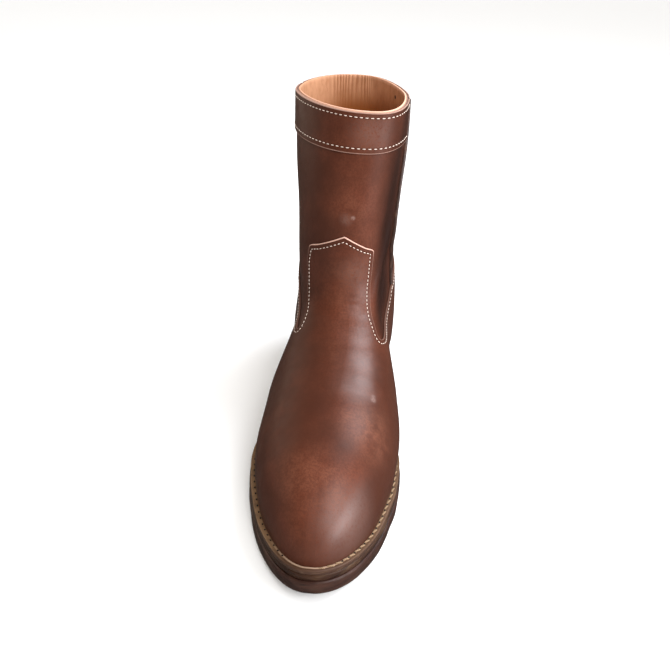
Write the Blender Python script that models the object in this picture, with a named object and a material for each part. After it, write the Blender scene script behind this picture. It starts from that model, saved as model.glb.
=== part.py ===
"""Pull-on leather boot for the right foot, toe towards -Y, inner side towards +X, standing on Z = 0.

Sizes are in millimetres and turn into metres where the solids are made. A place is a share of
the length from the toe, and a level on the upper runs from 0 at the feather line to 1 at the rim.
"""

import bpy
import numpy as np

for old in list(bpy.data.objects):
    bpy.data.objects.remove(old)

MM = 0.001

# Driving sizes of the boot
LENGTH = 300.0
BALL_WIDTH = 100.0
INSTEP_RISE = 103.5
RIM_HEIGHT = 252.0
HEEL_HEIGHT = 26.0
TOE_SPRING = 10.5
FORE_SOLE = 19.5
SEAT_SOLE = 15.0
MIDDLE_X = 3.0
GAP = 0.3

# Thickness of the leathers
WALL = 2.2
OVERLAY = 1.3
OVERLAY_GAP = 0.85
PIPING = 2.2


def table(columns, rows):
    """A short table as one array for each named column."""
    return dict(zip(columns.split(), np.array(rows, float).T))


def along(rows, column, at):
    """Cubic through a column of a table, read against its first column, that never overshoots."""
    x, y = next(iter(rows.values())), rows[column]
    step = np.diff(x)
    rise = np.diff(y) / step
    near, far = 2 * step[1:] + step[:-1], step[1:] + 2 * step[:-1]
    turns = rise[:-1] * rise[1:] <= 0
    before, after = np.where(turns, 1.0, rise[:-1]), np.where(turns, 1.0, rise[1:])
    inner = np.where(turns, 0.0, (near + far) / (near / before + far / after))
    slope = np.concatenate([rise[:1], inner, rise[-1:]])
    at = np.clip(at, x[0], x[-1])
    i = np.clip(np.searchsorted(x, at) - 1, 0, len(x) - 2)
    t = (at - x[i]) / step[i]
    s = 1 - t
    return (
        (1 + 2 * t) * s * s * y[i]
        + t * s * s * step[i] * slope[i]
        + t * t * (3 - 2 * t) * y[i + 1]
        - t * t * s * step[i] * slope[i + 1]
    )


# Underside of the outsole: shares of the toe spring and of the heel height
SOLE_SIDE = table(
    "place spring heel",
    [
        (-0.01, 1.00, 0.00),
        (0.065, 0.42, 0.00),
        (0.155, 0.00, 0.00),
        (0.430, 0.00, 0.00),
        (0.600, 0.00, 0.42),
        (0.735, 0.00, 0.95),
        (1.000, 0.00, 1.06),
    ],
)


def place_of(y):
    return y / LENGTH + 0.5


def underside(y):
    place = place_of(y)
    return TOE_SPRING * along(SOLE_SIDE, "spring", place) + HEEL_HEIGHT * along(SOLE_SIDE, "heel", place)


def feather(y):
    """Height of the feather line, where the upper meets the welt."""
    back = np.clip((y + 20) / 80, 0, 1)
    return underside(y) + FORE_SOLE + (SEAT_SOLE - FORE_SOLE) * back**2 * (3 - 2 * back)


# Sections of the foot: half widths and lean are shares of the ball width, crown is one of the instep
FOOT = table(
    "place medial lateral crown lean tuck",
    [
        (0.00, 0.340, 0.285, 0.420, 0.00, 0.03),
        (0.10, 0.376, 0.342, 0.470, 0.01, 0.03),
        (0.20, 0.430, 0.412, 0.530, 0.02, 0.04),
        (0.27, 0.484, 0.468, 0.575, 0.03, 0.04),
        (0.36, 0.504, 0.504, 0.655, 0.06, 0.04),
        (0.47, 0.472, 0.498, 0.787, 0.07, 0.09),
        (0.58, 0.410, 0.420, 0.942, 0.06, 0.11),
        (0.70, 0.380, 0.345, 1.000, 0.04, 0.05),
        (0.86, 0.385, 0.345, 0.952, 0.03, 0.06),
    ],
)
TOE_TIP, TOE_ROOT, TOE_POWER = 0.0100, 0.205, 1.7
SEAT_ROOT, SEAT_END, SEAT_POWER = 0.70, 0.986, 2.4
SIDE_POWER, CROWN_POWER, FOOT_POWER = 2.1, 2.3, 2.2
WALL_SHARE = 0.45
FOOT_SCALE = 45.0


def foot_form(x, y, z):
    """Signed size of the last: under 0 inside. Sections are superellipses that lean and tuck in below."""
    place = place_of(y)
    rise = (z - feather(y)) / (INSTEP_RISE * along(FOOT, "crown", place))
    across = x - BALL_WIDTH * along(FOOT, "lean", place) * np.clip(rise, 0, 1)
    half = BALL_WIDTH * np.where(across > 0, along(FOOT, "medial", place), along(FOOT, "lateral", place))
    half = half * (1 - along(FOOT, "tuck", place) * np.clip(1 - rise / WALL_SHARE, 0, 1) ** 2)
    toe = np.clip((TOE_ROOT - place) / (TOE_ROOT - TOE_TIP), 0, None)
    seat = np.clip((place - SEAT_ROOT) / (SEAT_END - SEAT_ROOT), 0, None)
    total = np.abs(across / half) ** SIDE_POWER + np.clip(rise, 0, None) ** CROWN_POWER
    total = total + toe**TOE_POWER + seat**SEAT_POWER
    return (total ** (1 / FOOT_POWER) - 1) * FOOT_SCALE


# Sections of the shaft: front and back are places, half widths and skew are shares of the ball width
SHAFT = table(
    "level front back medial lateral pinch skew",
    [
        (0.12, 0.600, 0.988, 0.365, 0.365, 2.20, 0.00),
        (0.24, 0.592, 0.990, 0.385, 0.385, 2.20, 0.00),
        (0.39, 0.572, 0.975, 0.380, 0.355, 2.20, 0.00),
        (0.51, 0.557, 0.962, 0.363, 0.370, 2.10, 0.00),
        (0.66, 0.558, 0.957, 0.375, 0.378, 2.00, 0.01),
        (0.82, 0.575, 0.957, 0.375, 0.418, 1.80, 0.06),
        (1.05, 0.612, 0.960, 0.332, 0.455, 1.60, 0.18),
    ],
)
SHAFT_POWER = 2.2
SHAFT_SCALE = 42.0
SHAFT_FOOT = 55.0
BLEND = 12.0


def shaft_ends(z):
    """Front and back of the shaft's section at a height, as y."""
    return (LENGTH * (along(SHAFT, end, z / RIM_HEIGHT) - 0.5) for end in ("front", "back"))


def middle(y, z):
    """Middle line of the boot, which the shaft's skew carries to the inner side towards its front."""
    front, back = shaft_ends(z)
    ahead = np.clip((back - y) / (back - front), 0, 1.2)
    return MIDDLE_X + BALL_WIDTH * along(SHAFT, "skew", z / RIM_HEIGHT) * ahead**2


def shaft_form(x, y, z):
    """Signed size of the shaft: ovals that grow sharper at the sides towards the rim."""
    level = z / RIM_HEIGHT
    front, back = shaft_ends(z)
    across = x - middle(y, z)
    half = BALL_WIDTH * np.where(across > 0, along(SHAFT, "medial", level), along(SHAFT, "lateral", level))
    deep = np.abs((2 * y - front - back) / (back - front)) ** along(SHAFT, "pinch", level)
    total = np.abs(across / half) ** SHAFT_POWER + deep
    return (total ** (1 / SHAFT_POWER) - 1) * SHAFT_SCALE + np.clip((SHAFT_FOOT - z) / 5, 0, None)


def form(x, y, z):
    """Foot and shaft joined with a soft hollow of size BLEND."""
    foot, shaft = foot_form(x, y, z), shaft_form(x, y, z)
    share = np.clip(0.5 + 0.5 * (shaft - foot) / BLEND, 0, 1)
    return shaft * (1 - share) + foot * share - BLEND * share * (1 - share)


def on_middle(y, z):
    """The form on the middle line."""
    return form(middle(y, z), y, z)


def edge_of(test, low, high):
    """Where the test turns from inside to outside between low and high, by halving."""
    for _ in range(36):
        half = (low + high) / 2
        inside = test(half) < 0
        low, high = np.where(inside, half, low), np.where(inside, high, half)
    return (low + high) / 2


# Rings of the upper: a hub inside the boot, the aim of its front point, and the rise of its back point
RINGS = table(
    "level hub_y hub_z aim_y aim_z back",
    [
        (0.00, 54, 46, -148, 20, 0),
        (0.12, 54, 46, -148, 44, 14),
        (0.24, 54, 46, -123, 75, 30),
        (0.38, 54, 46, -59, 101, 49),
        (0.50, 59, 59, -5, 136, 74),
        (0.62, 74, 118, 0, 162, 103),
        (1.00, 74, RIM_HEIGHT, 0, RIM_HEIGHT, RIM_HEIGHT),
    ],
)
BOW_LEVEL = 0.40
TOE_Y = -edge_of(lambda s: on_middle(-s, feather(-s)), 50.0, 200.0)
SEAT_Y = edge_of(lambda s: on_middle(s, feather(s)), 80.0, 200.0)
RINGS["aim_y"][0], RINGS["aim_z"][0] = TOE_Y, feather(TOE_Y)
RINGS["back"][:-1] += feather(SEAT_Y)


def ring_ends(level):
    """Front and back points (y, z) of the ring at each level."""
    hub_y, hub_z, aim_y, aim_z, back_z = (along(RINGS, column, level) for column in list(RINGS)[1:])
    run, climb = aim_y - hub_y, aim_z - hub_z
    far = np.full_like(hub_y, 2.0)
    reach = edge_of(lambda s: on_middle(hub_y + s * run, hub_z + s * climb), 0 * far, far)
    back_y = edge_of(lambda s: on_middle(s, back_z), 40 * far, 100 * far)
    return hub_y + reach * run, hub_z + reach * climb, back_y, back_z


def skin(turn, level):
    """Outer face of the upper. A turn runs round it from the front, by the inner side, to 1."""
    turn, level = np.broadcast_arrays(np.asarray(turn, float), np.asarray(level, float))
    front_y, front_z, back_y, back_z = (end.reshape(level.shape) for end in ring_ends(level.ravel()))
    share = (1 - np.cos(2 * np.pi * turn)) / 2
    y = front_y + (back_y - front_y) * share
    bow = feather(y) - feather(front_y) - (feather(back_y) - feather(front_y)) * share
    z = front_z + (back_z - front_z) * share + bow * np.clip(1 - level / BOW_LEVEL, 0, 1)
    side = np.where(turn % 1 <= 0.5, 1.0, -1.0)
    x = middle(y, z)
    reach = edge_of(lambda s: form(x + side * s, y, z), np.zeros_like(y), np.full_like(y, 90.0))
    reach = np.where((share < 1e-9) | (share > 1 - 1e-9), 0.0, reach)
    return np.stack([x + side * reach, y, z], -1)


def lifted(turn, level, lift):
    """The upper's face moved out along its normal, which lies level at the feather line and rim."""
    points = skin(turn, level)
    x, y, z = points[..., 0], points[..., 1], points[..., 2]
    step = 0.2
    slope = [
        form(x + step, y, z) - form(x - step, y, z),
        form(x, y + step, z) - form(x, y - step, z),
        form(x, y, z + step) - form(x, y, z - step),
    ]
    normal = np.stack(slope, -1)
    ends = np.clip(np.minimum(level, 1 - level) / 0.03, 0, 1)
    normal[..., 2] *= ends
    normal /= np.linalg.norm(normal, axis=-1, keepdims=True)
    return points + normal * np.broadcast_to(lift, x.shape)[..., None]


def solid(name, points, faces, colour):
    """One piece of the boot as a mesh object, with its own material."""
    mesh = bpy.data.meshes.new(name)
    mesh.from_pydata((np.asarray(points) * MM).tolist(), [], faces)
    mesh.update()
    material = bpy.data.materials.new(name)
    material.use_nodes = True
    shader = material.node_tree.nodes["Principled BSDF"]
    shader.inputs["Base Color"].default_value = (*colour, 1.0)
    shader.inputs["Roughness"].default_value = 0.5
    mesh.materials.append(material)
    bpy.context.scene.collection.objects.link(bpy.data.objects.new(name, mesh))


def quads(rows):
    """Faces between each row of point numbers and the next one."""
    return [
        (low[i], low[i + 1], high[i + 1], high[i])
        for low, high in zip(rows[:-1], rows[1:])
        for i in range(len(low) - 1)
    ]


def hoop(name, loops, colour):
    """A solid whose loops run right round the boot, the last one closing on the first."""
    loops = np.asarray(loops)
    numbers = np.arange(loops.shape[0] * loops.shape[1]).reshape(loops.shape[:2])
    rows = np.hstack([numbers, numbers[:, :1]])
    rows = np.vstack([rows, rows[:1]]).tolist()
    solid(name, loops.reshape(-1, 3), quads(rows), colour)


def layer(name, loops, open_front, colour):
    """A solid of loops from the bottom up, closed by strips that run across below and above."""
    loops = np.asarray(loops)
    count = loops.shape[1]
    numbers = np.arange(loops.shape[0] * count).reshape(loops.shape[:2])
    faces = quads(np.hstack([numbers, numbers[:, :1]]).tolist())
    if open_front:
        pairs = [(i, count - 1 - i) for i in range(count // 2)]
    else:
        pairs = [(i, (count - i) % count) for i in range(count // 2 + 1)]
    for (a, b), (c, d) in zip(pairs[:-1], pairs[1:]):
        across = list(dict.fromkeys([a, c, d, b]))
        faces.append([int(numbers[-1, i]) for i in across])
        faces.append([int(numbers[0, i]) for i in reversed(across)])
    solid(name, loops.reshape(-1, 3), faces, colour)


def sheet(name, turn, level, inner, outer, colour):
    """A leather laid on the upper: a grid of turns and levels between two lifts, closed at its edge."""
    below, above = lifted(turn, level, inner), lifted(turn, level, outer)
    count, wide = turn.shape
    top = np.arange(count * wide).reshape(count, wide)
    low = top + count * wide
    rim = np.concatenate([top[0], top[1:, -1], top[-1, -2::-1], top[-2:0:-1, 0]])
    rim = np.append(rim, rim[0])
    faces = quads(top.tolist()) + quads(low[:, ::-1].tolist())
    faces += quads([(rim + count * wide).tolist(), rim.tolist()])
    solid(name, np.concatenate([above.reshape(-1, 3), below.reshape(-1, 3)]), faces, colour)


LEATHER = (0.16, 0.065, 0.035)
PALE_LEATHER = (0.45, 0.28, 0.15)
DARK_LEATHER = (0.05, 0.022, 0.014)
SOLE_LEATHER = (0.18, 0.085, 0.045)
RUBBER = (0.03, 0.022, 0.018)

# Upper: one hollow wall, open at the rim and underneath
AROUND = 52
LEVELS = 24
CLOSER_SIDES = 0.016
even = np.arange(AROUND) / AROUND
turns = even + CLOSER_SIDES * np.sin(4 * np.pi * even)
levels = np.linspace(0, 1, LEVELS)[:, None]
outside = lifted(turns, levels, 0.0)
inside = lifted(turns, levels, -WALL)
hoop("upper", np.concatenate([outside, inside[::-1]]), LEATHER)

# Vamp: its upper edge on both sides, from the tip of the tongue by its corner and down its side, round
# under the shaft's front panel and up to the side seam; foot is the turn below on the feather line
VAMP_EDGE = table(
    "step medial lateral level foot",
    [
        (0, 0.0000, 0.0000, 0.679, 0.0000),
        (1, 0.0285, 0.0343, 0.662, 0.0100),
        (2, 0.0570, 0.0687, 0.646, 0.0200),
        (3, 0.0855, 0.1030, 0.629, 0.0300),
        (4, 0.0860, 0.1110, 0.580, 0.0400),
        (5, 0.0815, 0.1160, 0.530, 0.0520),
        (6, 0.0810, 0.1200, 0.490, 0.0660),
        (7, 0.0880, 0.1250, 0.460, 0.0830),
        (8, 0.1020, 0.1310, 0.434, 0.1030),
        (9, 0.1180, 0.1400, 0.414, 0.1250),
        (10, 0.1360, 0.1530, 0.401, 0.1480),
        (11, 0.1550, 0.1690, 0.394, 0.1720),
        (12, 0.1730, 0.1860, 0.396, 0.1970),
        (13, 0.1860, 0.1990, 0.406, 0.2220),
        (14, 0.1940, 0.2080, 0.424, 0.2460),
        (15, 0.1990, 0.2130, 0.448, 0.2700),
        (16, 0.2020, 0.2160, 0.475, 0.2925),
    ],
)
TIP_STEPS, SIDE_STEPS = 3, 17
VAMP_ROWS = 18
LOW_EDGE = 0.006
JOINT = 0.0012

steps = np.concatenate([np.arange(TIP_STEPS), np.linspace(TIP_STEPS, VAMP_EDGE["step"][-1], SIDE_STEPS + 1)])
inner, outer, height, below = (along(VAMP_EDGE, column, steps) for column in list(VAMP_EDGE)[1:])
for row in (inner, outer, below):
    row[-1] -= JOINT
edge_turn = np.concatenate([-outer[:0:-1], inner])
edge_foot = np.concatenate([-below[:0:-1], below])
edge_level = np.concatenate([height[:0:-1], height])


def between(low_turn, low_level, high_turn, high_level, count):
    """Grid of turns and levels between two edges. The turn changes late, so that joints run straight."""
    share = np.linspace(0, 1, count)[:, None]
    return low_turn + (high_turn - low_turn) * share**2, low_level + (high_level - low_level) * share


turn, level = between(edge_foot, LOW_EDGE + 0 * edge_foot, edge_turn, edge_level, VAMP_ROWS)
sheet("vamp", turn, level, OVERLAY_GAP, OVERLAY_GAP + OVERLAY, LEATHER)

# Counter: between the vamp's two ends, a little higher round the back
COUNTER_TOP = 0.505
CLIMB = 0.05
COUNTER_COLUMNS = 29
COUNTER_ROWS = 11

medial_end, lateral_end, end_level, end_foot = (VAMP_EDGE[column][-1] for column in list(VAMP_EDGE)[1:])
edge = np.linspace(medial_end + JOINT, 1 - lateral_end - JOINT, COUNTER_COLUMNS)
foot = np.linspace(end_foot + JOINT, 1 - end_foot - JOINT, COUNTER_COLUMNS)
climb = np.clip(np.minimum(edge - medial_end, 1 - lateral_end - edge) / CLIMB, 0, 1)
top = end_level + (COUNTER_TOP - end_level) * climb**2 * (3 - 2 * climb)
turn, level = between(foot, LOW_EDGE + 0 * foot, edge, top, COUNTER_ROWS)
sheet("counter", turn, level, OVERLAY_GAP, OVERLAY_GAP + OVERLAY, LEATHER)

# Side seams: piping from just over the counter to the rim, further back on the outer side
SEAM = table(
    "level medial lateral",
    [
        (0.480, 0.2035, 0.284),
        (0.520, 0.197, 0.284),
        (0.620, 0.183, 0.285),
        (0.750, 0.186, 0.288),
        (0.880, 0.201, 0.297),
        (1.000, 0.222, 0.313),
    ],
)
SEAM_FOOT = {"medial": 0.481, "lateral": 0.509}
SEAM_HALF = 0.005
SEAM_ROWS = 14
PIPING_SECTION = table("across lift", [(-1.0, 0.5), (-0.4, 1.0), (0.4, 1.0), (1.0, 0.5)])

wide = SEAM_HALF * PIPING_SECTION["across"]
lift = OVERLAY_GAP + PIPING * PIPING_SECTION["lift"]
for side, low in SEAM_FOOT.items():
    climb = np.linspace(low, 1, SEAM_ROWS)[:, None]
    path = along(SEAM, side, climb)
    turn = (path if side == "medial" else 1 - path) + wide
    sheet("side_seam_" + side, turn, np.broadcast_to(climb, turn.shape), OVERLAY_GAP, lift, DARK_LEATHER)

# Collar bands: strips round the rim, in front of the side seams and behind them
BAND_LEVEL = 0.903
BAND_ROWS = 3
BAND_COLUMNS = 23
BAND_CLEAR = 0.0015

climb = np.linspace(BAND_LEVEL, 1, BAND_ROWS)[:, None]
beside = SEAM_HALF + BAND_CLEAR
medial, lateral = along(SEAM, "medial", climb), along(SEAM, "lateral", climb)
spread = np.linspace(0, 1, BAND_COLUMNS)
front = beside - lateral + (lateral + medial - 2 * beside) * spread
back = medial + beside + (1 - lateral - medial - 2 * beside) * spread
climb = np.broadcast_to(climb, front.shape)
sheet("collar_band_front", front, climb, OVERLAY_GAP, OVERLAY_GAP + OVERLAY, LEATHER)
sheet("collar_band_back", back, climb, OVERLAY_GAP, OVERLAY_GAP + OVERLAY, LEATHER)

# How far the welt stands out from the feather line
WELT_EDGE = table("place show", [(0.00, 5.0), (0.40, 5.0), (0.60, 3.5), (0.75, 2.5), (1.00, 2.5)])
sole_turns = turns


def sole_line(turn, grow):
    """The feather line moved out along its own plan normal by the welt's width and grow."""
    line = skin(turn, 0.0)
    run = skin(turn + 0.001, 0.0) - skin(turn - 0.001, 0.0)
    normal = np.stack([run[:, 1], -run[:, 0]], -1)
    normal /= np.linalg.norm(normal, axis=1, keepdims=True)
    return line[:, :2] + normal * np.broadcast_to(grow, len(line))[:, None]


def welt_show(turn):
    return along(WELT_EDGE, "show", place_of(skin(turn, 0.0)[:, 1]))


def sole_loop(grow, height):
    """A loop round the sole: its plan, and its height as a function of y."""
    plan = sole_line(sole_turns, grow)
    return np.column_stack([plan, height(plan[:, 1])])


def sole_height(share, lift):
    """Height at a share of the sole's thickness, plus a lift."""
    return lambda y: underside(y) + share * (feather(y) - underside(y)) + lift


OUTSOLE_SHARE = 0.52
MIDSOLE_SHARE = 0.80
OUTSOLE_STEP = 1.0
BEVEL = 1.2
show = welt_show(sole_turns)

# Welt: a strip that the upper stands on
WELT_INSET = 4.0
welt_low = sole_height(MIDSOLE_SHARE, GAP)
welt_top = sole_height(1.0, -OVERLAY_GAP)
welt_loops = [
    sole_loop(-WELT_INSET, welt_low),
    sole_loop(show, welt_low),
    sole_loop(show, welt_top),
    sole_loop(-WELT_INSET, welt_top),
]
hoop("welt", welt_loops, PALE_LEATHER)

# Midsole, with its lower edge eased to leave a groove over the outsole
midsole_loops = [
    sole_loop(show - BEVEL, sole_height(OUTSOLE_SHARE, GAP)),
    sole_loop(show, sole_height(OUTSOLE_SHARE, GAP + BEVEL)),
    sole_loop(show, sole_height(MIDSOLE_SHARE, 0.0)),
]
layer("midsole", midsole_loops, False, SOLE_LEATHER)

# Outsole, wider by a step, with eased edges
outsole_loops = [
    sole_loop(show + OUTSOLE_STEP - BEVEL, sole_height(0.0, 0.0)),
    sole_loop(show + OUTSOLE_STEP, sole_height(0.0, BEVEL)),
    sole_loop(show + OUTSOLE_STEP, sole_height(OUTSOLE_SHARE, -BEVEL)),
    sole_loop(show + OUTSOLE_STEP - BEVEL, sole_height(OUTSOLE_SHARE, 0.0)),
]
layer("outsole", outsole_loops, False, SOLE_LEATHER)

# Insole and its filling: a plug in the welt under a plate in the upper
INSOLE_PLATE = 3.0
INSOLE_CLEAR = 0.5
plate_inset = WALL + INSOLE_CLEAR
plug_inset = WELT_INSET + INSOLE_CLEAR
insole_loops = [
    sole_loop(-plug_inset, sole_height(MIDSOLE_SHARE, GAP)),
    sole_loop(-plug_inset, sole_height(1.0, 0.0)),
    sole_loop(-plate_inset, sole_height(1.0, 0.0)),
    sole_loop(-plate_inset, sole_height(1.0, INSOLE_PLATE)),
]
layer("insole", insole_loops, False, PALE_LEATHER)

# Heel: a stack under the seat, tapered, on a top lift that stands on the floor
HEEL_TURN = 0.328
HEEL_POINTS = 24
HEEL_TAPER = 2.0
TOP_LIFT = 6.5
heel_turns = np.linspace(HEEL_TURN, 1 - HEEL_TURN, HEEL_POINTS)
heel_show = welt_show(heel_turns)


def heel_loop(grow, height):
    plan = sole_line(heel_turns, heel_show + grow)
    return np.column_stack([plan, height(plan[:, 1])])


heel_grow = OUTSOLE_STEP - BEVEL
stack_loops = [
    heel_loop(heel_grow - HEEL_TAPER, lambda y: 0 * y + TOP_LIFT + GAP),
    heel_loop(heel_grow, lambda y: underside(y) - 2 * GAP),
]
layer("heel_stack", stack_loops, True, SOLE_LEATHER)
lift_loops = [
    heel_loop(heel_grow - HEEL_TAPER - 0.5, lambda y: 0 * y),
    heel_loop(heel_grow - HEEL_TAPER, lambda y: 0 * y + TOP_LIFT),
]
layer("heel_top_lift", lift_loops, True, RUBBER)
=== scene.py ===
"""Pull-on leather boot for the right foot: its leathers, threads and sole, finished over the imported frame.

Sizes are in millimetres and turn into metres where a mesh is made. The toe points to -Y and the inner
side to +X. A place is a share of the length from the toe. On the upper, a turn runs round from the front
by the inner side to 1, and a level runs from 0 at the feather line to 1 at the rim.
"""

import bmesh
import bpy
import numpy as np
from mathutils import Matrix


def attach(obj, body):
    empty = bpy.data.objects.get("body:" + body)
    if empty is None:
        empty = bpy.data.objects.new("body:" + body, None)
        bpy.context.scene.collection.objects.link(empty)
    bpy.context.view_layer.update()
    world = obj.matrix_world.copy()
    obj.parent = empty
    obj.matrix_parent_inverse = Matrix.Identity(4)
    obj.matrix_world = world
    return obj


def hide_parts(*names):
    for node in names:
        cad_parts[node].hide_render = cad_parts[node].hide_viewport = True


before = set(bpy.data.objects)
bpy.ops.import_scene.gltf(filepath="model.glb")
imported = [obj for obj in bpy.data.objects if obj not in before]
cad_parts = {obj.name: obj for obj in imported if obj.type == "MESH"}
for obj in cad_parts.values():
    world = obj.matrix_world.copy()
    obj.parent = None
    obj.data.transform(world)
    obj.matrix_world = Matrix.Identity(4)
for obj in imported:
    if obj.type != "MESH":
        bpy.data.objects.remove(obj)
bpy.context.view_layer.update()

# Shaft and foot of the upper.
# One wall of oiled brown leather, pulled over a last and left open at the rim. Its lower edge turns in
# under the foot and is sewn to the welt, and its folds come from walking.
LENGTH = 300.0
BALL_WIDTH = 100.0
INSTEP_RISE = 103.5
RIM_HEIGHT = 252.0
HEEL_HEIGHT = 26.0
TOE_SPRING = 10.5
FORE_SOLE = 19.5
SEAT_SOLE = 15.0
THIN_FROM, THIN_TO = -20.0, 60.0
MIDDLE_X = 3.0


def table(columns, rows):
    """A short table as one array for each named column."""
    return dict(zip(columns.split(), np.array(rows, float).T))


def along(rows, column, at):
    """Cubic through a column of a table, read against its first column, that never overshoots."""
    x, y = next(iter(rows.values())), rows[column]
    step = np.diff(x)
    rise = np.diff(y) / step
    near, far = 2 * step[1:] + step[:-1], step[1:] + 2 * step[:-1]
    turns = rise[:-1] * rise[1:] <= 0
    before, after = np.where(turns, 1.0, rise[:-1]), np.where(turns, 1.0, rise[1:])
    inner = np.where(turns, 0.0, (near + far) / (near / before + far / after))
    slope = np.concatenate([rise[:1], inner, rise[-1:]])
    at = np.clip(at, x[0], x[-1])
    i = np.clip(np.searchsorted(x, at) - 1, 0, len(x) - 2)
    t = (at - x[i]) / step[i]
    s = 1 - t
    return (
        (1 + 2 * t) * s * s * y[i]
        + t * s * s * step[i] * slope[i]
        + t * t * (3 - 2 * t) * y[i + 1]
        - t * t * s * step[i] * slope[i + 1]
    )


# Underside of the outsole: shares of the toe spring and of the heel height
SOLE_SIDE = table(
    "place spring heel",
    [
        (-0.01, 1.00, 0.00),
        (0.065, 0.42, 0.00),
        (0.155, 0.00, 0.00),
        (0.430, 0.00, 0.00),
        (0.600, 0.00, 0.42),
        (0.735, 0.00, 0.95),
        (1.000, 0.00, 1.06),
    ],
)


def place_of(y):
    """Share of the length from the toe, at y."""
    return y / LENGTH + 0.5


def underside(y):
    """Height of the outsole's underside: toe spring in front, arch and seat behind."""
    place = place_of(y)
    return TOE_SPRING * along(SOLE_SIDE, "spring", place) + HEEL_HEIGHT * along(SOLE_SIDE, "heel", place)


def eased(share):
    """A share that starts and ends level: its square times 3 less twice the share."""
    return share**2 * (3 - 2 * share)


def feather(y):
    """Height of the feather line, where the upper meets the welt."""
    back = np.clip((y - THIN_FROM) / (THIN_TO - THIN_FROM), 0, 1)
    return underside(y) + FORE_SOLE + (SEAT_SOLE - FORE_SOLE) * eased(back)


# Sections of the foot: half widths and lean are shares of the ball width, crown is one of the instep
FOOT = table(
    "place medial lateral crown lean tuck",
    [
        (0.00, 0.340, 0.285, 0.420, 0.00, 0.03),
        (0.10, 0.376, 0.342, 0.470, 0.01, 0.03),
        (0.20, 0.430, 0.412, 0.530, 0.02, 0.04),
        (0.27, 0.484, 0.468, 0.575, 0.03, 0.04),
        (0.36, 0.504, 0.504, 0.655, 0.06, 0.04),
        (0.47, 0.472, 0.498, 0.787, 0.07, 0.09),
        (0.58, 0.410, 0.420, 0.942, 0.06, 0.11),
        (0.70, 0.380, 0.345, 1.000, 0.04, 0.05),
        (0.86, 0.385, 0.345, 0.952, 0.03, 0.06),
    ],
)
TOE_TIP, TOE_ROOT, TOE_POWER = 0.0100, 0.205, 1.7
SEAT_ROOT, SEAT_END, SEAT_POWER = 0.70, 0.986, 2.4
SIDE_POWER, CROWN_POWER, FOOT_POWER = 2.1, 2.3, 2.2
WALL_SHARE = 0.45
FOOT_SCALE = 45.0


def foot_form(x, y, z):
    """Signed size of the last: under 0 inside. Sections are superellipses that lean and tuck in below."""
    place = place_of(y)
    rise = (z - feather(y)) / (INSTEP_RISE * along(FOOT, "crown", place))
    across = x - BALL_WIDTH * along(FOOT, "lean", place) * np.clip(rise, 0, 1)
    half = BALL_WIDTH * np.where(across > 0, along(FOOT, "medial", place), along(FOOT, "lateral", place))
    half = half * (1 - along(FOOT, "tuck", place) * np.clip(1 - rise / WALL_SHARE, 0, 1) ** 2)
    toe = np.clip((TOE_ROOT - place) / (TOE_ROOT - TOE_TIP), 0, None)
    seat = np.clip((place - SEAT_ROOT) / (SEAT_END - SEAT_ROOT), 0, None)
    total = np.abs(across / half) ** SIDE_POWER + np.clip(rise, 0, None) ** CROWN_POWER
    total = total + toe**TOE_POWER + seat**SEAT_POWER
    return (total ** (1 / FOOT_POWER) - 1) * FOOT_SCALE


# Sections of the shaft: front and back are places, half widths and skew are shares of the ball width
SHAFT = table(
    "level front back medial lateral pinch skew",
    [
        (0.12, 0.600, 0.988, 0.365, 0.365, 2.20, 0.00),
        (0.24, 0.592, 0.990, 0.385, 0.385, 2.20, 0.00),
        (0.39, 0.572, 0.975, 0.380, 0.355, 2.20, 0.00),
        (0.51, 0.557, 0.962, 0.363, 0.370, 2.10, 0.00),
        (0.66, 0.558, 0.957, 0.375, 0.378, 2.00, 0.01),
        (0.82, 0.575, 0.957, 0.375, 0.418, 1.80, 0.06),
        (1.05, 0.612, 0.960, 0.332, 0.455, 1.60, 0.18),
    ],
)
SHAFT_POWER = 2.2
SHAFT_SCALE = 42.0
SHAFT_FOOT = 55.0
SHAFT_FADE = 5.0
SKEW_END = 1.2
BLEND = 12.0


def shaft_ends(z):
    """Front and back of the shaft's section at a height, as y."""
    return (LENGTH * (along(SHAFT, end, z / RIM_HEIGHT) - 0.5) for end in ("front", "back"))


def middle(y, z):
    """Middle line of the boot, which the shaft's skew carries to the inner side towards its front."""
    front, back = shaft_ends(z)
    ahead = np.clip((back - y) / (back - front), 0, SKEW_END)
    return MIDDLE_X + BALL_WIDTH * along(SHAFT, "skew", z / RIM_HEIGHT) * ahead**2


def shaft_form(x, y, z):
    """Signed size of the shaft: ovals that grow sharper at the sides towards the rim."""
    level = z / RIM_HEIGHT
    front, back = shaft_ends(z)
    across = x - middle(y, z)
    half = BALL_WIDTH * np.where(across > 0, along(SHAFT, "medial", level), along(SHAFT, "lateral", level))
    deep = np.abs((2 * y - front - back) / (back - front)) ** along(SHAFT, "pinch", level)
    total = np.abs(across / half) ** SHAFT_POWER + deep
    return (total ** (1 / SHAFT_POWER) - 1) * SHAFT_SCALE + np.clip((SHAFT_FOOT - z) / SHAFT_FADE, 0, None)


def form(x, y, z):
    """Foot and shaft joined with a soft hollow of size BLEND."""
    foot, shaft = foot_form(x, y, z), shaft_form(x, y, z)
    share = np.clip(0.5 + 0.5 * (shaft - foot) / BLEND, 0, 1)
    return shaft * (1 - share) + foot * share - BLEND * share * (1 - share)


def on_middle(y, z):
    """The form on the middle line."""
    return form(middle(y, z), y, z)


HALVINGS = 22
TINY = 1e-9


def edge_of(test, low, high):
    """Where the test turns from inside to outside between low and high, by halving."""
    for _ in range(HALVINGS):
        half = (low + high) / 2
        inside = test(half) < 0
        low, high = np.where(inside, half, low), np.where(inside, high, half)
    return (low + high) / 2


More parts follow.
